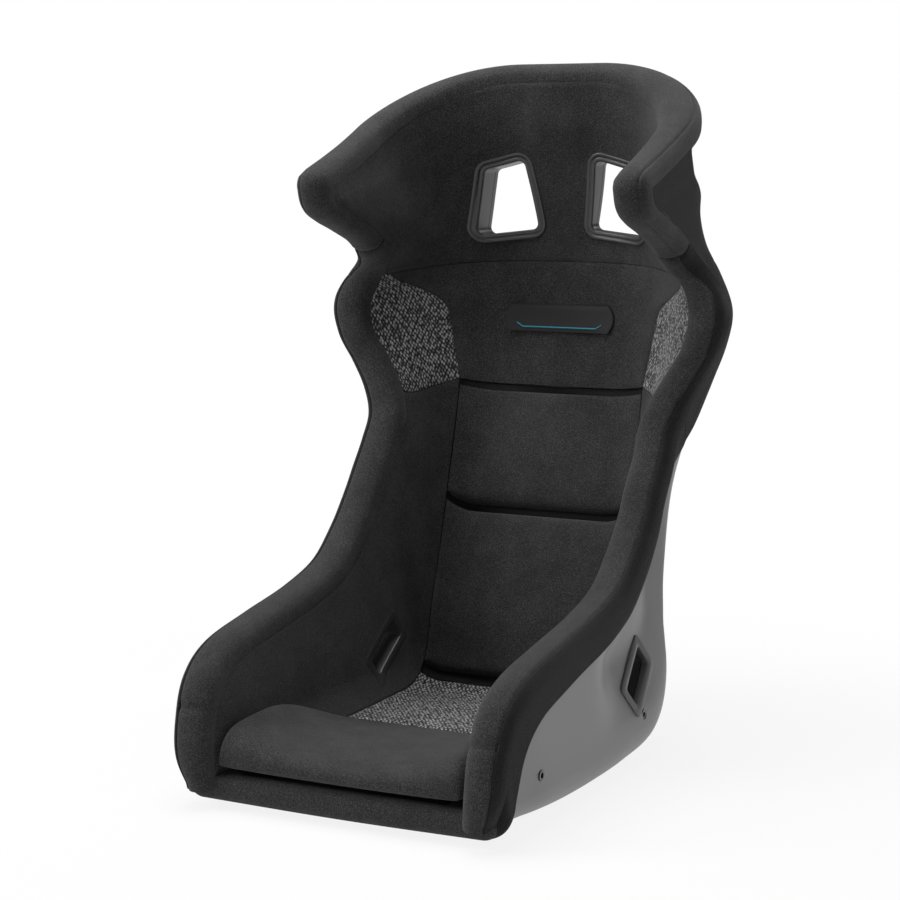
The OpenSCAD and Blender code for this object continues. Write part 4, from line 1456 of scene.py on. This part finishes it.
@dataclass
class Padding:
    """The foam and the sewn linings on the shell."""

    shop: Workshop
    slots: HarnessSlots
    cushion_front: float = 5.6
    foam_split: float = 8.5
    chest_low: float = 14.05
    panel_turn: float = 15.6
    panel_top: float = 17.0
    panel_flare: float = 11
    panel_edge: float = 5
    neck: float = 17.02
    seam: float = 0.03
    seam_drop: float = 1.1
    seam_run: Spot = (11.5, 16.6)
    recess: float = 9.3
    seat_recess: float = 16.3

    def glued(self, _u: float, w: Station, v: float) -> Point:
        """The padding's hidden side, on the shell."""
        return self.shop.form.from_shell(w, v, self.shop.form.shell_t + self.shop.form.bond)

    def sloped(self, u: float, w: Station, v: float) -> Station:
        """The station under a seam that slopes down towards the rim.

        Args:
            u: The place along the seat.
            w: The station there.
            v: The place across it.

        Returns:
            The station that the sloping seam's cloth lies on.
        """
        form = self.shop.form
        start = form.pad_v(w, form.cushion_w / 2)
        low, high = self.seam_run
        drop = self.seam_drop * ramp(u, low, self.chest_low) * (1 - ramp(u, self.chest_low, high))
        return form.station(u - drop * max(0.0, v - start) / (1 - start))

    def panel_x(self, u: float) -> float:
        """Where the open-knit panels begin beside the chest.

        Args:
            u: The place along the seat.

        Returns:
            The distance from the middle.
        """
        form = self.shop.form
        w = form.station(u)
        return lerp(form.cushion_w / 2 + self.panel_flare * (u - self.chest_low),
                    w.face_half_w - self.panel_edge,
                    ramp(u, self.panel_turn, self.panel_top + 0.1) ** 1.4)

    def face(self, height: float, sloping: bool = False, sink: float = 1.6,
             run_u: float = 0.03, run_v: float = 0.05) -> Face:
        """A sewn face that stands a little proud and sinks into its seams.

        Args:
            height: How far it stands proud at its middle.
            sloping: Whether it follows the sloping seam.
            sink: How deep its seams are.
            run_u: Share of its length in which it sinks at each end.
            run_v: Share of its width in which it sinks at each side.

        Returns:
            A function for the lining's face.
        """
        def point(u: float, w: Station, v: float, t: float, s: float) -> Point:
            """One point of the face."""
            at = self.sloped(u, w, v) if sloping else w
            edge_u, edge_v = min(t, 1 - t), min(s, 1 - s)
            up = height * ramp(edge_u, 0, 0.3) * ramp(edge_v, 0, 0.35)
            up -= sink * max((1 - ramp(edge_u, 0, run_u)) ** 1.5,
                             (1 - ramp(edge_v, 0, run_v)) ** 1.5)
            return self.shop.form.from_pad(at, v, -up)
        return point

    def build(self) -> None:
        """Make every lining."""
        form, fin, lining = self.shop.form, self.shop.finishes, self.shop.lining
        half = form.cushion_w / 2

        def hi(_u: float, w: Station) -> float:
            """The edge beside the cushions."""
            return form.pad_v(w, half - form.gap)

        def lo(u: float, w: Station) -> float:
            """The opposite edge."""
            return -hi(u, w)

        def base_face(u: float, w: Station, v: float, _t: float, _s: float) -> Point:
            """The base foam, let in under the seat cushion."""
            return form.from_pad(w, v, self.seat_recess * ramp(u, self.cushion_front - 0.08,
                                                               self.cushion_front))

        def back_face(_u: float, w: Station, v: float, _t: float, _s: float) -> Point:
            """The back foam, let in under the back cushions."""
            return form.from_pad(w, v, self.recess)

        base = lining("BaseFoam", spread(0.01, self.foam_split, 90), 30, lo, hi, base_face,
                      self.glued, fin.foam)
        settle(base, "seat", Slot.FOAM, ["base_foam"])
        back = lining("BackFoam",
                      spread(self.foam_split + self.seam, self.chest_low - self.seam, 40), 30,
                      lo, hi, back_face, self.glued, fin.foam)
        settle(back, "seat", Slot.FOAM, ["back_foam"])

        chest = lining("ChestPad", spread(self.chest_low, self.panel_top, 60), 70,
                       lambda u, w: -form.pad_v(w, self.panel_x(u) - form.gap),
                       lambda u, w: form.pad_v(w, self.panel_x(u) - form.gap),
                       self.face(2.5, sink=2.0, run_u=0.04, run_v=0.02), self.glued, fin.knit)
        settle(chest, "seat", Slot.KNIT, ["chest_pad"])

        for side in Side:
            s = side.value
            panel = lining("ShoulderPanel" + side.title, spread(self.chest_low, self.panel_top, 60),
                           30, lambda u, w: form.pad_v(w, self.panel_x(u) + form.gap),
                           lambda u, w: 1.0, self.face(2.0, True, 2.0, 0.04, 0.05),
                           self.sloped_glued, fin.open_knit, s)
            settle(panel, "seat", Slot.MESH, [f"shoulder_panel_{side.word}"])
            pad = lining("SidePad" + side.title, spread(0, self.chest_low - self.seam, 210), 48,
                         lambda u, w: form.pad_v(w, half + form.gap), lambda u, w: 1.0,
                         self.face(2.5, True, 1.8, 0.008, 0.03), self.sloped_glued, fin.knit, s)
            self.shop.cut(pad, self.slots.cutters(True, self.slots.hole, (s,)))
            settle(pad, "seat", Slot.KNIT, [f"side_pad_{side.word}"])
        self.head()

    def sloped_glued(self, u: float, w: Station, v: float) -> Point:
        """The hidden side under a sloping seam."""
        form = self.shop.form
        return form.from_shell(self.sloped(u, w, v), v, form.shell_t + form.bond + 0.3)

    def head(self) -> None:
        """Make the lining of the head ring, with its pillow."""
        form = self.shop.form

        def face(u: float, w: Station, v: float, t: float, _s: float) -> Point:
            """The lining stands proud as a pillow above the slots."""
            pillow = 7.0 * ramp(u, 20.2, 21.6) * (1 - ramp(abs(v), 0.15, 0.55))
            roll = 2.0 * ramp(u, 17.1, 18.2) * (1 - ramp(u, 21.5, 23))
            sink = 2.0 * (1 - ramp(t, 0, 0.02)) ** 1.5 + 1.5 * (1 - ramp(1 - t, 0, 0.02)) ** 1.5
            sink += 1.5 * (1 - ramp(1 - abs(v), 0, 0.02)) ** 1.5
            return form.from_pad(w, v, sink - pillow - roll)

        head = self.shop.lining("HeadLining", spread(self.neck, form.last, 90), 150,
                                lambda u, w: -1.0, lambda u, w: 1.0, face, self.glued,
                                self.shop.finishes.knit)
        self.shop.cut(head, self.slots.cutters(False, self.slots.hole, (1, -1)))
        settle(head, "seat", Slot.KNIT, ["head_lining"])


# ------------------------------------------------------------- the cushions


@dataclass
class Cushions:
    """The four cushions; the back and thigh cushions lift out, the seat cushion stays on the seat."""

    shop: Workshop
    cushion_t: float = 14
    proud: float = 7
    crown: float = 4
    strip_t: float = 1.4
    seat_rise: float = 6
    back_low: float = 8.8
    back_mid: float = 11.86
    back_top: float = 13.9
    groove: float = 0.07
    front: float = 5.6
    rear: float = 8.4
    thigh_w: float = 307
    thigh_h: float = 27
    thigh_end: float = 56
    thigh_reach: float = 1.044
    thigh_clear: float = 0.7
    thigh_gap: float = 3.3
    nose_run: float = 0.1
    nose_drop: float = 9
    nose_in: float = 7
    fall_from: float = 0.3
    widest: float = 0.55

    def straight(self, w: Station, v: float, d: float) -> Point:
        """A point behind the padded surface, no wider than the cushion.

        Args:
            w: The station.
            v: The place across it.
            d: How far behind the surface it lies.

        Returns:
            The point.
        """
        form = self.shop.form
        p = form.from_pad(w, v, d)
        e = form.cushion_w / 2 - form.gap
        return Vector((max(-e, min(e, p.x)), p.y, p.z))

    def back(self, name: str, node: str, u0: float, u1: float) -> None:
        """Make one back cushion.

        Args:
            name: The piece's name.
            node: Its CAD node.
            u0: The station where it starts.
            u1: The station where it ends.
        """
        form = self.shop.form

        def hi(_u: float, w: Station) -> float:
            """The cushion's edge."""
            return form.pad_v(w, form.cushion_w / 2 - form.gap)

        def face(_u: float, w: Station, v: float, t: float, s: float) -> Point:
            """The crowned face, rounded at its edges."""
            x, z = 2 * s - 1, 2 * t - 1
            lift = (max(0.0, 1 - abs(x) ** 9) * max(0.0, 1 - abs(z) ** 8)) ** 0.5
            up = self.proud * lerp(-0.15, 1, lift) + self.crown * (1 - x * x) * (1 - z * z)
            return form.from_pad(w, v, -up)

        piece = self.shop.lining(name, spread(u0, u1, 64), 84, lambda u, w: -hi(u, w), hi, face,
                                 lambda u, w, v: self.straight(w, v, self.cushion_t - self.proud),
                                 self.shop.finishes.cushion)
        settle(piece, node + "_body", Slot.KNIT, [node])

    def seat(self) -> None:
        """Make the seat cushion in open knit."""
        form = self.shop.form

        def hi(_u: float, w: Station) -> float:
            """The cushion's edge."""
            return form.pad_v(w, form.cushion_w / 2 - form.gap)

        def face(_u: float, w: Station, v: float, t: float, s: float) -> Point:
            """The crowned face, rounded at its edges."""
            x, z = 2 * s - 1, 2 * t - 1
            edge = (max(0.0, 1 - abs(x) ** 10) * max(0.0, 1 - abs(z) ** 14)) ** 0.5
            up = self.seat_rise * (1 - t) * edge + 2.4 * (1 - x * x) * math.sin(math.pi * t)
            return form.from_pad(w, v, 2.0 * (1 - edge) - up)

        piece = self.shop.lining("SeatCushion", spread(self.front + 0.03, self.rear, 60), 84,
                                 lambda u, w: -hi(u, w), hi, face,
                                 lambda u, w, v: self.straight(w, v, self.cushion_t),
                                 self.shop.finishes.open_knit)
        settle(piece, "seat", Slot.MESH, ["seat_cushion"])

    def thigh_ring(self, t: float, y0: float, y1: float) -> list[Point]:
        """One ring of the thigh cushion.

        Args:
            t: The share from its front to its back.
            y0: Its front.
            y1: Its back.

        Returns:
            Points round the ring.
        """
        form = self.shop.form
        y = lerp(y0, y1, t)
        w = form.station(seek(lambda s: form.station(s).face_y - y, 1, 8))

        def rounded(run: float) -> float:
            """A quarter round from the front, over a share of the length."""
            return math.sqrt(max(0.0, 1 - (1 - min(1, t / run)) ** 2))

        nose, tight, soft = rounded(self.nose_run), rounded(0.15), rounded(0.42)
        turn = 90 * max(0.0, t - self.fall_from) / (1 - self.fall_from)
        fall = math.cos(math.radians(turn)) ** 1.3 if t < 1 else 0.0
        z = w.face_z + self.strip_t + self.thigh_clear
        low_rise = self.seat_rise - self.strip_t
        grown = fall * lerp(0.22, 1, 0.72 * tight + 0.28 * soft)
        mid_h = lerp(low_rise, self.thigh_h, grown)
        end_h = lerp(low_rise, self.thigh_end, grown)
        wide_h, low = end_h * self.widest, (1 - nose) * self.nose_drop

        def reach(k: float) -> float:
            """Half width at a height over the seat."""
            inside = form.profile_x(*form.face_section(w), k + self.strip_t) - self.thigh_gap
            return min(self.thigh_w / 2 - self.nose_in * (1 - nose), inside)
        x = reach(wide_h)
        half = [(reach(0) * 0.97, low), (reach(wide_h * 0.3), wide_h * 0.3 + low * 0.5),
                (reach(wide_h * 0.62), wide_h * 0.62), (x, wide_h),
                (x - 2, lerp(wide_h, end_h, 0.45)), (x - 7, lerp(wide_h, end_h, 0.85)),
                (x - 14, end_h), (x * 0.8, lerp(mid_h, end_h, 0.72)),
                (x * 0.6, lerp(mid_h, end_h, 0.36)), (x * 0.38, lerp(mid_h, end_h, 0.1))]
        ring = half + [(0.0, mid_h)] + [(-a, b) for a, b in reversed(half)]
        return [Vector((a, y, z + b)) for a, b in ring]

    def thigh(self) -> None:
        """Make the bolster under the thighs, smoothed from a few rings."""
        form = self.shop.form
        y0 = -form.base_l * self.thigh_reach
        y1 = form.station(self.front).face_y
        steps = [0, 0.008, 0.02, 0.04, 0.07, 0.1, 0.15, 0.21, 0.28, 0.36, 0.45, 0.54, 0.63, 0.72,
                 0.81, 0.9, 0.96, 0.995]
        rings = [[form.metres(p) for p in self.thigh_ring(t, y0, y1)] for t in steps]
        piece = self.shop.skin("ThighCushion", rings, self.shop.finishes.cushion)
        smooth = piece.modifiers.new("Smooth", "SUBSURF")
        smooth.levels = smooth.render_levels = 3
        bake(piece)
        settle(piece, "thigh_cushion_body", Slot.KNIT, ["thigh_cushion"])

    def build(self) -> None:
        """Make the four cushions."""
        self.back("BackCushionLower", "back_cushion_lower", self.back_low,
                  self.back_mid - self.groove)
        self.back("BackCushionUpper", "back_cushion_upper", self.back_mid + self.groove,
                  self.back_top)
        self.seat()
        self.thigh()


# ----------------------------------------------------------------- the rolls


@dataclass
class Rolls:
    """The rolled pads along the edges."""

    shop: Workshop
    roll_end: float = 18.6
    lip_join: float = 0.82
    lip_crest: float = 14
    seam_at: float = 56
    seam_deep: float = 1.7
    cross_at: float = 2.3
    cross_run: float = 0.1
    cross_deep: float = 3.0
    butt: float = 0.8
    lip_butt: float = 0.86
    lip_end: float = 0.88
    fan: Spot = (-50, 62)
    sunk: float = 2.5
    steps: int = 48

    def edge_a(self, w: Station, v: float) -> Point:
        """The outer foot of a roll."""
        return self.shop.form.from_shell(w, v, -self.shop.form.bond - w.cover_t)

    def arch(self, a: Point, b: Point, n: Vector, crest: float, seam: float = 1.0,
             cross: float = 0.0) -> list[Point]:
        """One arched ring from foot to foot.

        Args:
            a: The outer foot.
            b: The inner foot.
            n: The direction in which it rises.
            crest: Its height.
            seam: Strength of the seam along its crown.
            cross: Depth of a seam across it.

        Returns:
            Points of the ring.
        """
        ring = []
        for k in range(self.steps + 1):
            g = math.pi * k / self.steps
            deg = math.degrees(g)
            high = crest * max(0.0, math.sin(g)) ** 0.75
            sink = seam * self.seam_deep * bell(deg, self.seam_at, 4)
            sink += cross * ramp(deg, self.seam_at - 8, self.seam_at)
            high = max(0.0, high - sink)
            foot = lerp(-self.sunk, self.shop.form.roll_gap, min(1.0, 2.5 * math.sin(g)))
            ring.append(a + (b - a) * (1 - math.cos(g)) / 2 + n * (foot + high))
        return ring

    def side_ring(self, u: float, crest: float, seam: float = 1.0,
                  cross: float = 0.0) -> list[Point]:
        """A ring of the side roll.

        Args:
            u: The place along the seat.
            crest: The roll's height.
            seam: Strength of the seam along its crown.
            cross: Depth of a seam across it.

        Returns:
            Points of the ring.
        """
        form = self.shop.form
        w = form.station(u)
        a, b = self.edge_a(w, 1), form.pad_at(w, 1)
        m = (b - a).normalized()
        w0, w1 = form.station(max(0, u - 0.02)), form.station(min(form.last, u + 0.02))
        t = (self.edge_a(w1, 1) + form.pad_at(w1, 1) - self.edge_a(w0, 1)
             - form.pad_at(w0, 1)).normalized()
        n = m.cross(t).normalized()
        d = Vector((0, w.rim_y - w.shell_y, w.rim_z - w.shell_z))
        return self.arch(a, b, -n if n.dot(d) < 0 else n, crest, seam, cross)

    @staticmethod
    def square_to(n: Vector, m: Vector) -> Vector:
        """The part of n that is square to m."""
        return (n - m * n.dot(m)).normalized()

    def lip_ring(self, v: float, crest: float, seam: float = 0.0) -> list[Point]:
        """A ring of the roll along the front lip.

        Args:
            v: The place across the seat.
            crest: The roll's height.
            seam: Strength of the seam along its crown.

        Returns:
            Points of the ring.
        """
        form = self.shop.form
        w = form.rows[0]
        a, b = self.edge_a(w, v), form.pad_at(w, v)
        down = 0.45 * ramp(v, self.lip_join, 0.95)
        return self.arch(a, b, self.square_to(Vector((0, -1, -down)), (b - a).normalized()),
                         crest, seam)

    def top_normal(self, v: float) -> Vector:
        """The way up from the head ring's top edge.

        Args:
            v: The place across it.

        Returns:
            The direction.
        """
        form = self.shop.form
        w, e = form.rows[-1], 0.01
        b, a = form.pad_at(w, v), self.edge_a(w, v)
        t = (self.edge_a(w, v + e) + form.pad_at(w, v + e) - self.edge_a(w, v - e)
             - form.pad_at(w, v - e))
        n = (b - a).cross(t).normalized()
        return -n if n.z < 0 else n

    def fan_ring(self, g: float, crest: float) -> list[Point]:
        """A ring that turns round the head ring's tip.

        Args:
            g: How far it has turned from level to upright, in degrees.
            crest: The roll's height.

        Returns:
            Points of the ring.
        """
        form = self.shop.form
        w = form.rows[-1]
        a, b = self.edge_a(w, 1), form.pad_at(w, 1)
        m = (b - a).normalized()
        up = self.top_normal(0.99)
        fwd = self.square_to(Vector((0, -1, 0)), m)
        level = self.square_to(fwd - up * fwd.dot(up), m)
        r = math.radians(g)
        return self.arch(a, b, (level * math.cos(r) + up * math.sin(r)).normalized(), crest)

    def to_metres(self, rings: Sequence[Sequence[Point]], side: int = 1) -> list[list[Vector]]:
        """Rings in metres."""
        return [[self.shop.form.metres(p, side) for p in ring] for ring in rings]

    def build(self) -> None:
        """Make the side rolls, the lip roll and the ring's roll."""
        form, fin = self.shop.form, self.shop.finishes
        high = form.roll_h
        lip = [self.lip_ring(v, lerp(self.lip_crest, high, ramp(v, self.lip_join - 0.05, 1))
                             * lerp(self.lip_butt, 1, ramp(v, self.lip_join, self.lip_join + 0.03)),
                             ramp(v, 0.9, 1))
               for v in spread(self.lip_join, 1, 22)]
        us = spread(0.06, self.roll_end - 0.02, 300)
        side_rings = [self.side_ring(u, high * lerp(self.butt, 1, ramp(self.roll_end - u, 0, 0.12)),
                                     1.0, self.cross_deep * bell(u, self.cross_at, self.cross_run))
                      for u in us]
        for side in Side:
            piece = self.shop.skin("SideRoll" + side.title,
                                   self.to_metres(lip + side_rings, side.value), fin.knit)
            settle(piece, "seat", Slot.KNIT, [f"side_roll_{side.word}"])
            # The roll's outer side gets painted shade.
            self.two_tone(piece, lip[10:] + side_rings, side.value)
            self.sew("RollSeam" + side.title, side_rings, side.value)
        edge = self.lip_join - 0.006
        rings = [self.lip_ring(v, self.lip_crest * lerp(self.lip_end, 1,
                                                        ramp(edge - abs(v), 0, 0.03)))
                 for v in spread(-edge, edge, 80)]
        lip_roll = self.shop.skin("LipRoll", self.to_metres(rings), fin.knit)
        settle(lip_roll, "seat", Slot.KNIT, ["lip_roll"])

        start = self.roll_end + 0.03
        half = [self.side_ring(u, high * lerp(self.butt, 1, ramp(u - self.roll_end, 0, 0.15)))
                for u in spread(start, form.last - 0.15, 60)]
        half += [self.fan_ring(g, high) for g in spread(*self.fan, 14)]
        half += [self.top_arch(v, high) for v in spread(0.985, 0.0, 90)[:-1]]
        mirrored = [[Vector((-p.x, p.y, p.z)) for p in ring] for ring in reversed(half)]
        ring = self.shop.skin("RingRoll",
                              self.to_metres(half + [self.top_arch(0, high)] + mirrored), fin.knit)
        settle(ring, "seat", Slot.KNIT, ["ring_roll"])

    def top_arch(self, v: float, crest: float) -> list[Point]:
        """A ring over the head ring's top edge.

        Args:
            v: The place across it.
            crest: The roll's height.

        Returns:
            Points of the ring.
        """
        form = self.shop.form
        w = form.rows[-1]
        return self.arch(self.edge_a(w, v), form.pad_at(w, v), self.top_normal(v), crest,
                         ramp(v, 0.3, 0.6))

    def two_tone(self, piece: bpy.types.Object, rings: Sequence[Sequence[Point]],
                 side: int) -> None:
        """Paint shade on a roll's outer side beyond the seam, with the darker copy of the knit.

        Args:
            piece: The roll.
            rings: The rings it was made from.
            side: 1, or -1 for the mirrored roll.
        """
        k = round(self.steps * self.seam_at / 180)
        tree = KDTree(len(rings))
        ways = []
        for i, ring in enumerate(rings):
            seam, inner = self.shop.form.metres(ring[k], side), ring[k + 1]
            tree.insert(seam, i)
            ways.append(self.shop.form.metres(inner, side) - seam)
        tree.balance()
        # Painted shade: faces outside the seam get the darker copy of the knit.
        piece.data.materials.append(self.shop.finishes.trim)
        for face in piece.data.polygons:
            near, i, _ = tree.find(face.center)
            if (Vector(face.center) - near).dot(ways[i]) < 0:
                face.material_index = 1

    def sew(self, name: str, rings: Sequence[Sequence[Point]], side: int) -> None:
        """Sew a row of stitches beside a seam on a roll.

        Args:
            name: The piece's name.
            rings: The rings it lies on.
            side: 1, or -1 for the mirrored row.
        """
        k = round(self.steps * (self.seam_at + 9) / 180)
        path, ups = [], []
        for ring in rings:
            here, nxt, prev = ring[k], ring[k + 1], ring[k - 1]
            out = (here - (ring[0] + ring[-1]) / 2)
            way = (nxt - prev).normalized()
            up = (out - way * out.dot(way)).normalized()
            path.append(self.shop.form.metres(here, side))
            ups.append(Vector((up.x * side, up.y, up.z)))
        piece = self.shop.stitches(name, path, ups, 4.0, 2.8, 0.4)
        settle(piece, "seat", Slot.KNIT)


# ---------------------------------------------------------------- the covers


@dataclass
class Covers:
    """The fabric on the outside of the rim and of the head ring."""

    shop: Workshop
    split: float = 12.5
    hem: float = 0.6
    hem_run: float = 0.12
    drop_front: float = 44
    drop_thigh: float = 16
    drop_side: Spot = (16, 26)
    drop_ring: float = 150
    seam_at: float = 17.45
    seam_run: float = 0.035
    seam_deep: float = 1.4

    def depth_v(self, w: Station, d: float) -> float:
        """v at a depth below the edge, down the wall and round the corner.

        Args:
            w: The station.
            d: The depth, along the cross-section.

        Returns:
            The place across the seat.
        """
        form = self.shop.form
        _, h, r, a = form.shell_section(w)
        run = form.wall_run(h, r, a)
        if d < run:
            return 1 - (1 - form.v_arc) * d / run
        turn = (d - run) / (r * math.radians(a))
        return max(form.v_flat, form.v_arc - (form.v_arc - form.v_flat) * turn)

    def build(self) -> None:
        """Make the four covers."""
        form, fin = self.shop.form, self.shop.finishes

        def low(u: float, w: Station) -> float:
            """The cover's lower edge."""
            front = self.drop_front * (1 - ramp(u, 0.4, 4.2))
            front += self.drop_thigh * ramp(u, 0.8, 2.6) * (1 - ramp(u, 3.2, 6))
            side = lerp(*self.drop_side, ramp(u, 0, 10))
            return self.depth_v(w, lerp(side + front, self.drop_ring, ramp(u, 10.5, 17)))

        def face(u: float, w: Station, v: float, _t: float, s: float) -> Point:
            """The cover, tucked in along its lower edge."""
            tuck = ramp(s, 0, self.hem_run)
            seam = self.seam_deep * bell(u, self.seam_at, self.seam_run)
            return form.from_shell(w, v,
                                   -form.bond - self.hem - (w.cover_t - self.hem - seam) * tuck)

        for side in Side:
            s = side.value
            # Both covers wear the darker copy of the knit, as painted shade.
            rim = self.shop.lining("RimCover" + side.title, spread(0, self.split, 160), 24, low,
                                   lambda u, w: 1.0, face, self.inside, fin.trim, s)
            settle(rim, "seat", Slot.KNIT, [f"rim_cover_{side.word}"])
            ring = self.shop.lining("RingCover" + side.title,
                                    spread(self.split + 0.02, form.last, 170), 60, low,
                                    lambda u, w: 1.0, face, self.inside, fin.trim, s)
            settle(ring, "seat", Slot.KNIT, [f"ring_cover_{side.word}"])

    def inside(self, _u: float, w: Station, v: float) -> Point:
        """The cover's hidden side, on the shell."""
        return self.shop.form.from_shell(w, v, -self.shop.form.bond)


# ------------------------------------------------------------------ the patch


@dataclass
class Patch:
    """A plain sewn patch on the chest with one coloured cord."""

    shop: Workshop
    z: float = 512.4
    height: float = 34
    width: float = 150
    thick: float = 1.6
    float_off: float = 0.9
    padding: float = 2.0
    narrowing: float = 0.10
    cord_r: float = 0.9
    cord_in: float = 16.0
    cord_up: float = 5.5
    cord_off: float = 0.2
    cord_turn: Spot = (8, 5)

    def build(self) -> None:
        """Make the patch and its cord."""
        form, fin = self.shop.form, self.shop.finishes
        zs = spread(self.z - self.height / 2, self.z + self.height / 2, 14)
        xs = spread(-self.width / 2, self.width / 2, 60)
        pad = self.padding
        face, back = [], []
        for z in zs:
            t = (z - zs[0]) / self.height
            line, under = [], []
            for x in xs:
                s = x / self.width * 2
                y = form.pad_y(abs(x), z) - self.float_off - pad
                narrow = 1 - self.narrowing * abs(2 * t - 1) ** 2
                edge = ramp(min(t, 1 - t) * 6, 0, 1) * ramp((1 - abs(s)) * 20, 0, 1)
                top = y - self.thick * lerp(0.4, 1, edge)
                line.append(form.metres(Vector((x * narrow, top, z))))
                under.append(form.metres(Vector((x * narrow, y + pad, z))))
            face.append(line)
            back.append(under)
        patch = self.shop.slab("ChestPatch", face, back, fin.badge)
        settle(patch, "seat", Slot.BADGE, ["chest_badge"])
        self.cord()

    def cord(self) -> None:
        """Sew the coloured cord along the patch's lower edge."""
        form = self.shop.form
        half, (run, rise) = self.width / 2 - self.cord_in, self.cord_turn
        off = self.float_off + self.padding + self.thick + self.cord_off
        rings = []
        for x in spread(-half, half, 60):
            end = min(1.0, (half - abs(x)) / run)
            z = self.z - self.height / 2 + self.cord_up + (1 - end) * rise
            middle = Vector((x, form.pad_y(abs(x), z) - off, z))
            rings.append([form.metres(middle + Vector((0, math.cos(g), math.sin(g))) * self.cord_r)
                          for g in (math.tau * k / 10 for k in range(10))])
        piece = self.shop.skin("PatchCord", rings, self.shop.finishes.teal)
        settle(piece, "seat", Slot.BADGE)


# ------------------------------------------------------------------ the studio


class Lamp(NamedTuple):
    """A square soft lamp.

    Attributes:
        name: Its name.
        at: Its place.
        to: The place that it faces.
        size: Its side.
        power: Its power in watts.
    """

    name: str
    at: tuple[float, float, float]
    to: tuple[float, float, float]
    size: float
    power: float

    def hang(self) -> None:
        """Put the lamp into the scene."""
        data = bpy.data.lights.new(self.name, "AREA")
        data.shape, data.size, data.energy = "SQUARE", self.size, self.power
        lamp = bpy.data.objects.new(self.name, data)
        lamp.location = self.at
        aim = Vector(self.to) - Vector(self.at)
        lamp.rotation_euler = aim.to_track_quat("-Z", "Y").to_euler()
        bpy.context.scene.collection.objects.link(lamp)


@dataclass
class Studio:
    """The floor, the lamps and the camera."""

    eye: tuple[float, float, float] = (1.1532, -2.2949, 0.723)
    heading: float = 26.974
    pitch: float = -7.693
    lens: float = 88.02
    sensor: float = 36
    floor_r: float = 14
    floor_greys: Spot = (0.79, 0.81)
    floor_fade: Spot = (0.45, 1.1)
    floor_near: float = 0.86
    room_light: float = 0.16
    lamps: Sequence[Lamp] = (
        Lamp("Overhead", (-0.3, 0.0, 2.7), (0, 0, 0.4), 1.8, 62),
        Lamp("Key", (-2.2, -1.7, 2.1), (0, 0, 0.45), 1.3, 52),
        Lamp("Right", (2.6, -0.3, 0.9), (0, 0, 0.25), 1.6, 7),
        Lamp("Back", (0.9, 2.4, 1.9), (0, 0, 0.6), 1.0, 7),
    )

    def build(self) -> None:
        """Set up the view and the light."""
        scene = bpy.context.scene
        scene.view_settings.view_transform = "Standard"
        camera = bpy.data.objects.new("Camera", bpy.data.cameras.new("Camera"))
        camera.data.lens, camera.data.sensor_width = self.lens, self.sensor
        camera.location = self.eye
        camera.rotation_euler = (math.radians(90 + self.pitch), 0, math.radians(self.heading))
        scene.collection.objects.link(camera)
        scene.camera = camera
        self.floor()
        self.world()
        for lamp in self.lamps:
            lamp.hang()

    def floor(self) -> None:
        """Lay a pale floor that shows white away from the shadow."""
        mesh = bmesh.new()
        bmesh.ops.create_circle(mesh, cap_ends=True, segments=64, radius=self.floor_r)
        data = bpy.data.meshes.new("Floor")
        mesh.to_mesh(data)
        mesh.free()
        floor = bpy.data.objects.new("Floor", data)
        bpy.context.scene.collection.objects.link(floor)
        material = bpy.data.materials.new("Floor")
        g = Nodes(material)
        at = g.add("ShaderNodeTexCoord").outputs["Object"]
        noise = g.add("ShaderNodeTexNoise", Scale=3)
        g.link(at, noise.inputs["Vector"])
        tint = g.add("ShaderNodeValToRGB")
        for element, grey in zip(tint.color_ramp.elements, self.floor_greys):
            element.color = (grey, grey, grey, 1)
        g.link(noise.outputs["Fac"], tint.inputs["Fac"])
        matte = g.add("ShaderNodeBsdfDiffuse")
        g.link(tint.outputs["Color"], matte.inputs["Color"])
        far = g.add("ShaderNodeVectorMath", operation="LENGTH")
        g.link(at, far.inputs[0])
        start, end = self.floor_fade
        fade = g.add("ShaderNodeMapRange", interpolation_type="SMOOTHSTEP", From_Min=start,
                     From_Max=end, To_Min=self.floor_near, To_Max=1.0)
        g.link(far.outputs["Value"], fade.inputs["Value"])
        path = g.add("ShaderNodeLightPath").outputs
        seen = g.maths("MAXIMUM", path["Is Camera Ray"], path["Is Glossy Ray"])
        white = g.add("ShaderNodeEmission", Color=(1, 1, 1, 1))
        g.blend(g.maths("MULTIPLY", seen, fade.outputs["Result"]), matte.outputs["BSDF"],
                white.outputs["Emission"], "ShaderNodeOutputMaterial")
        data.materials.append(material)

    def world(self) -> None:
        """Fill the room with even light, white to the camera."""
        world = bpy.data.worlds.new("Studio")
        bpy.context.scene.world = world
        g = Nodes(world)
        path = g.add("ShaderNodeLightPath").outputs
        room, seen = (g.add("ShaderNodeBackground", Color=(1, 1, 1, 1), Strength=light)
                      for light in (self.room_light, 1.0))
        g.blend(g.maths("MAXIMUM", path["Is Camera Ray"], path["Is Transmission Ray"]),
                room.outputs["Background"], seen.outputs["Background"], "ShaderNodeOutputWorld")


def main() -> None:
    """Build the seat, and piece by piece."""
    logging.basicConfig(level=logging.INFO, format="%(message)s")
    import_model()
    Studio().build()
    shop = Workshop(SeatForm(), Finishes())
    slots = HarnessSlots(shop)
    Shell(shop, slots).build()
    Padding(shop, slots).build()
    Cushions(shop).build()
    Rolls(shop).build()
    Covers(shop).build()
    slots.build()
    Patch(shop).build()


if __name__ == "__main__":
    main()
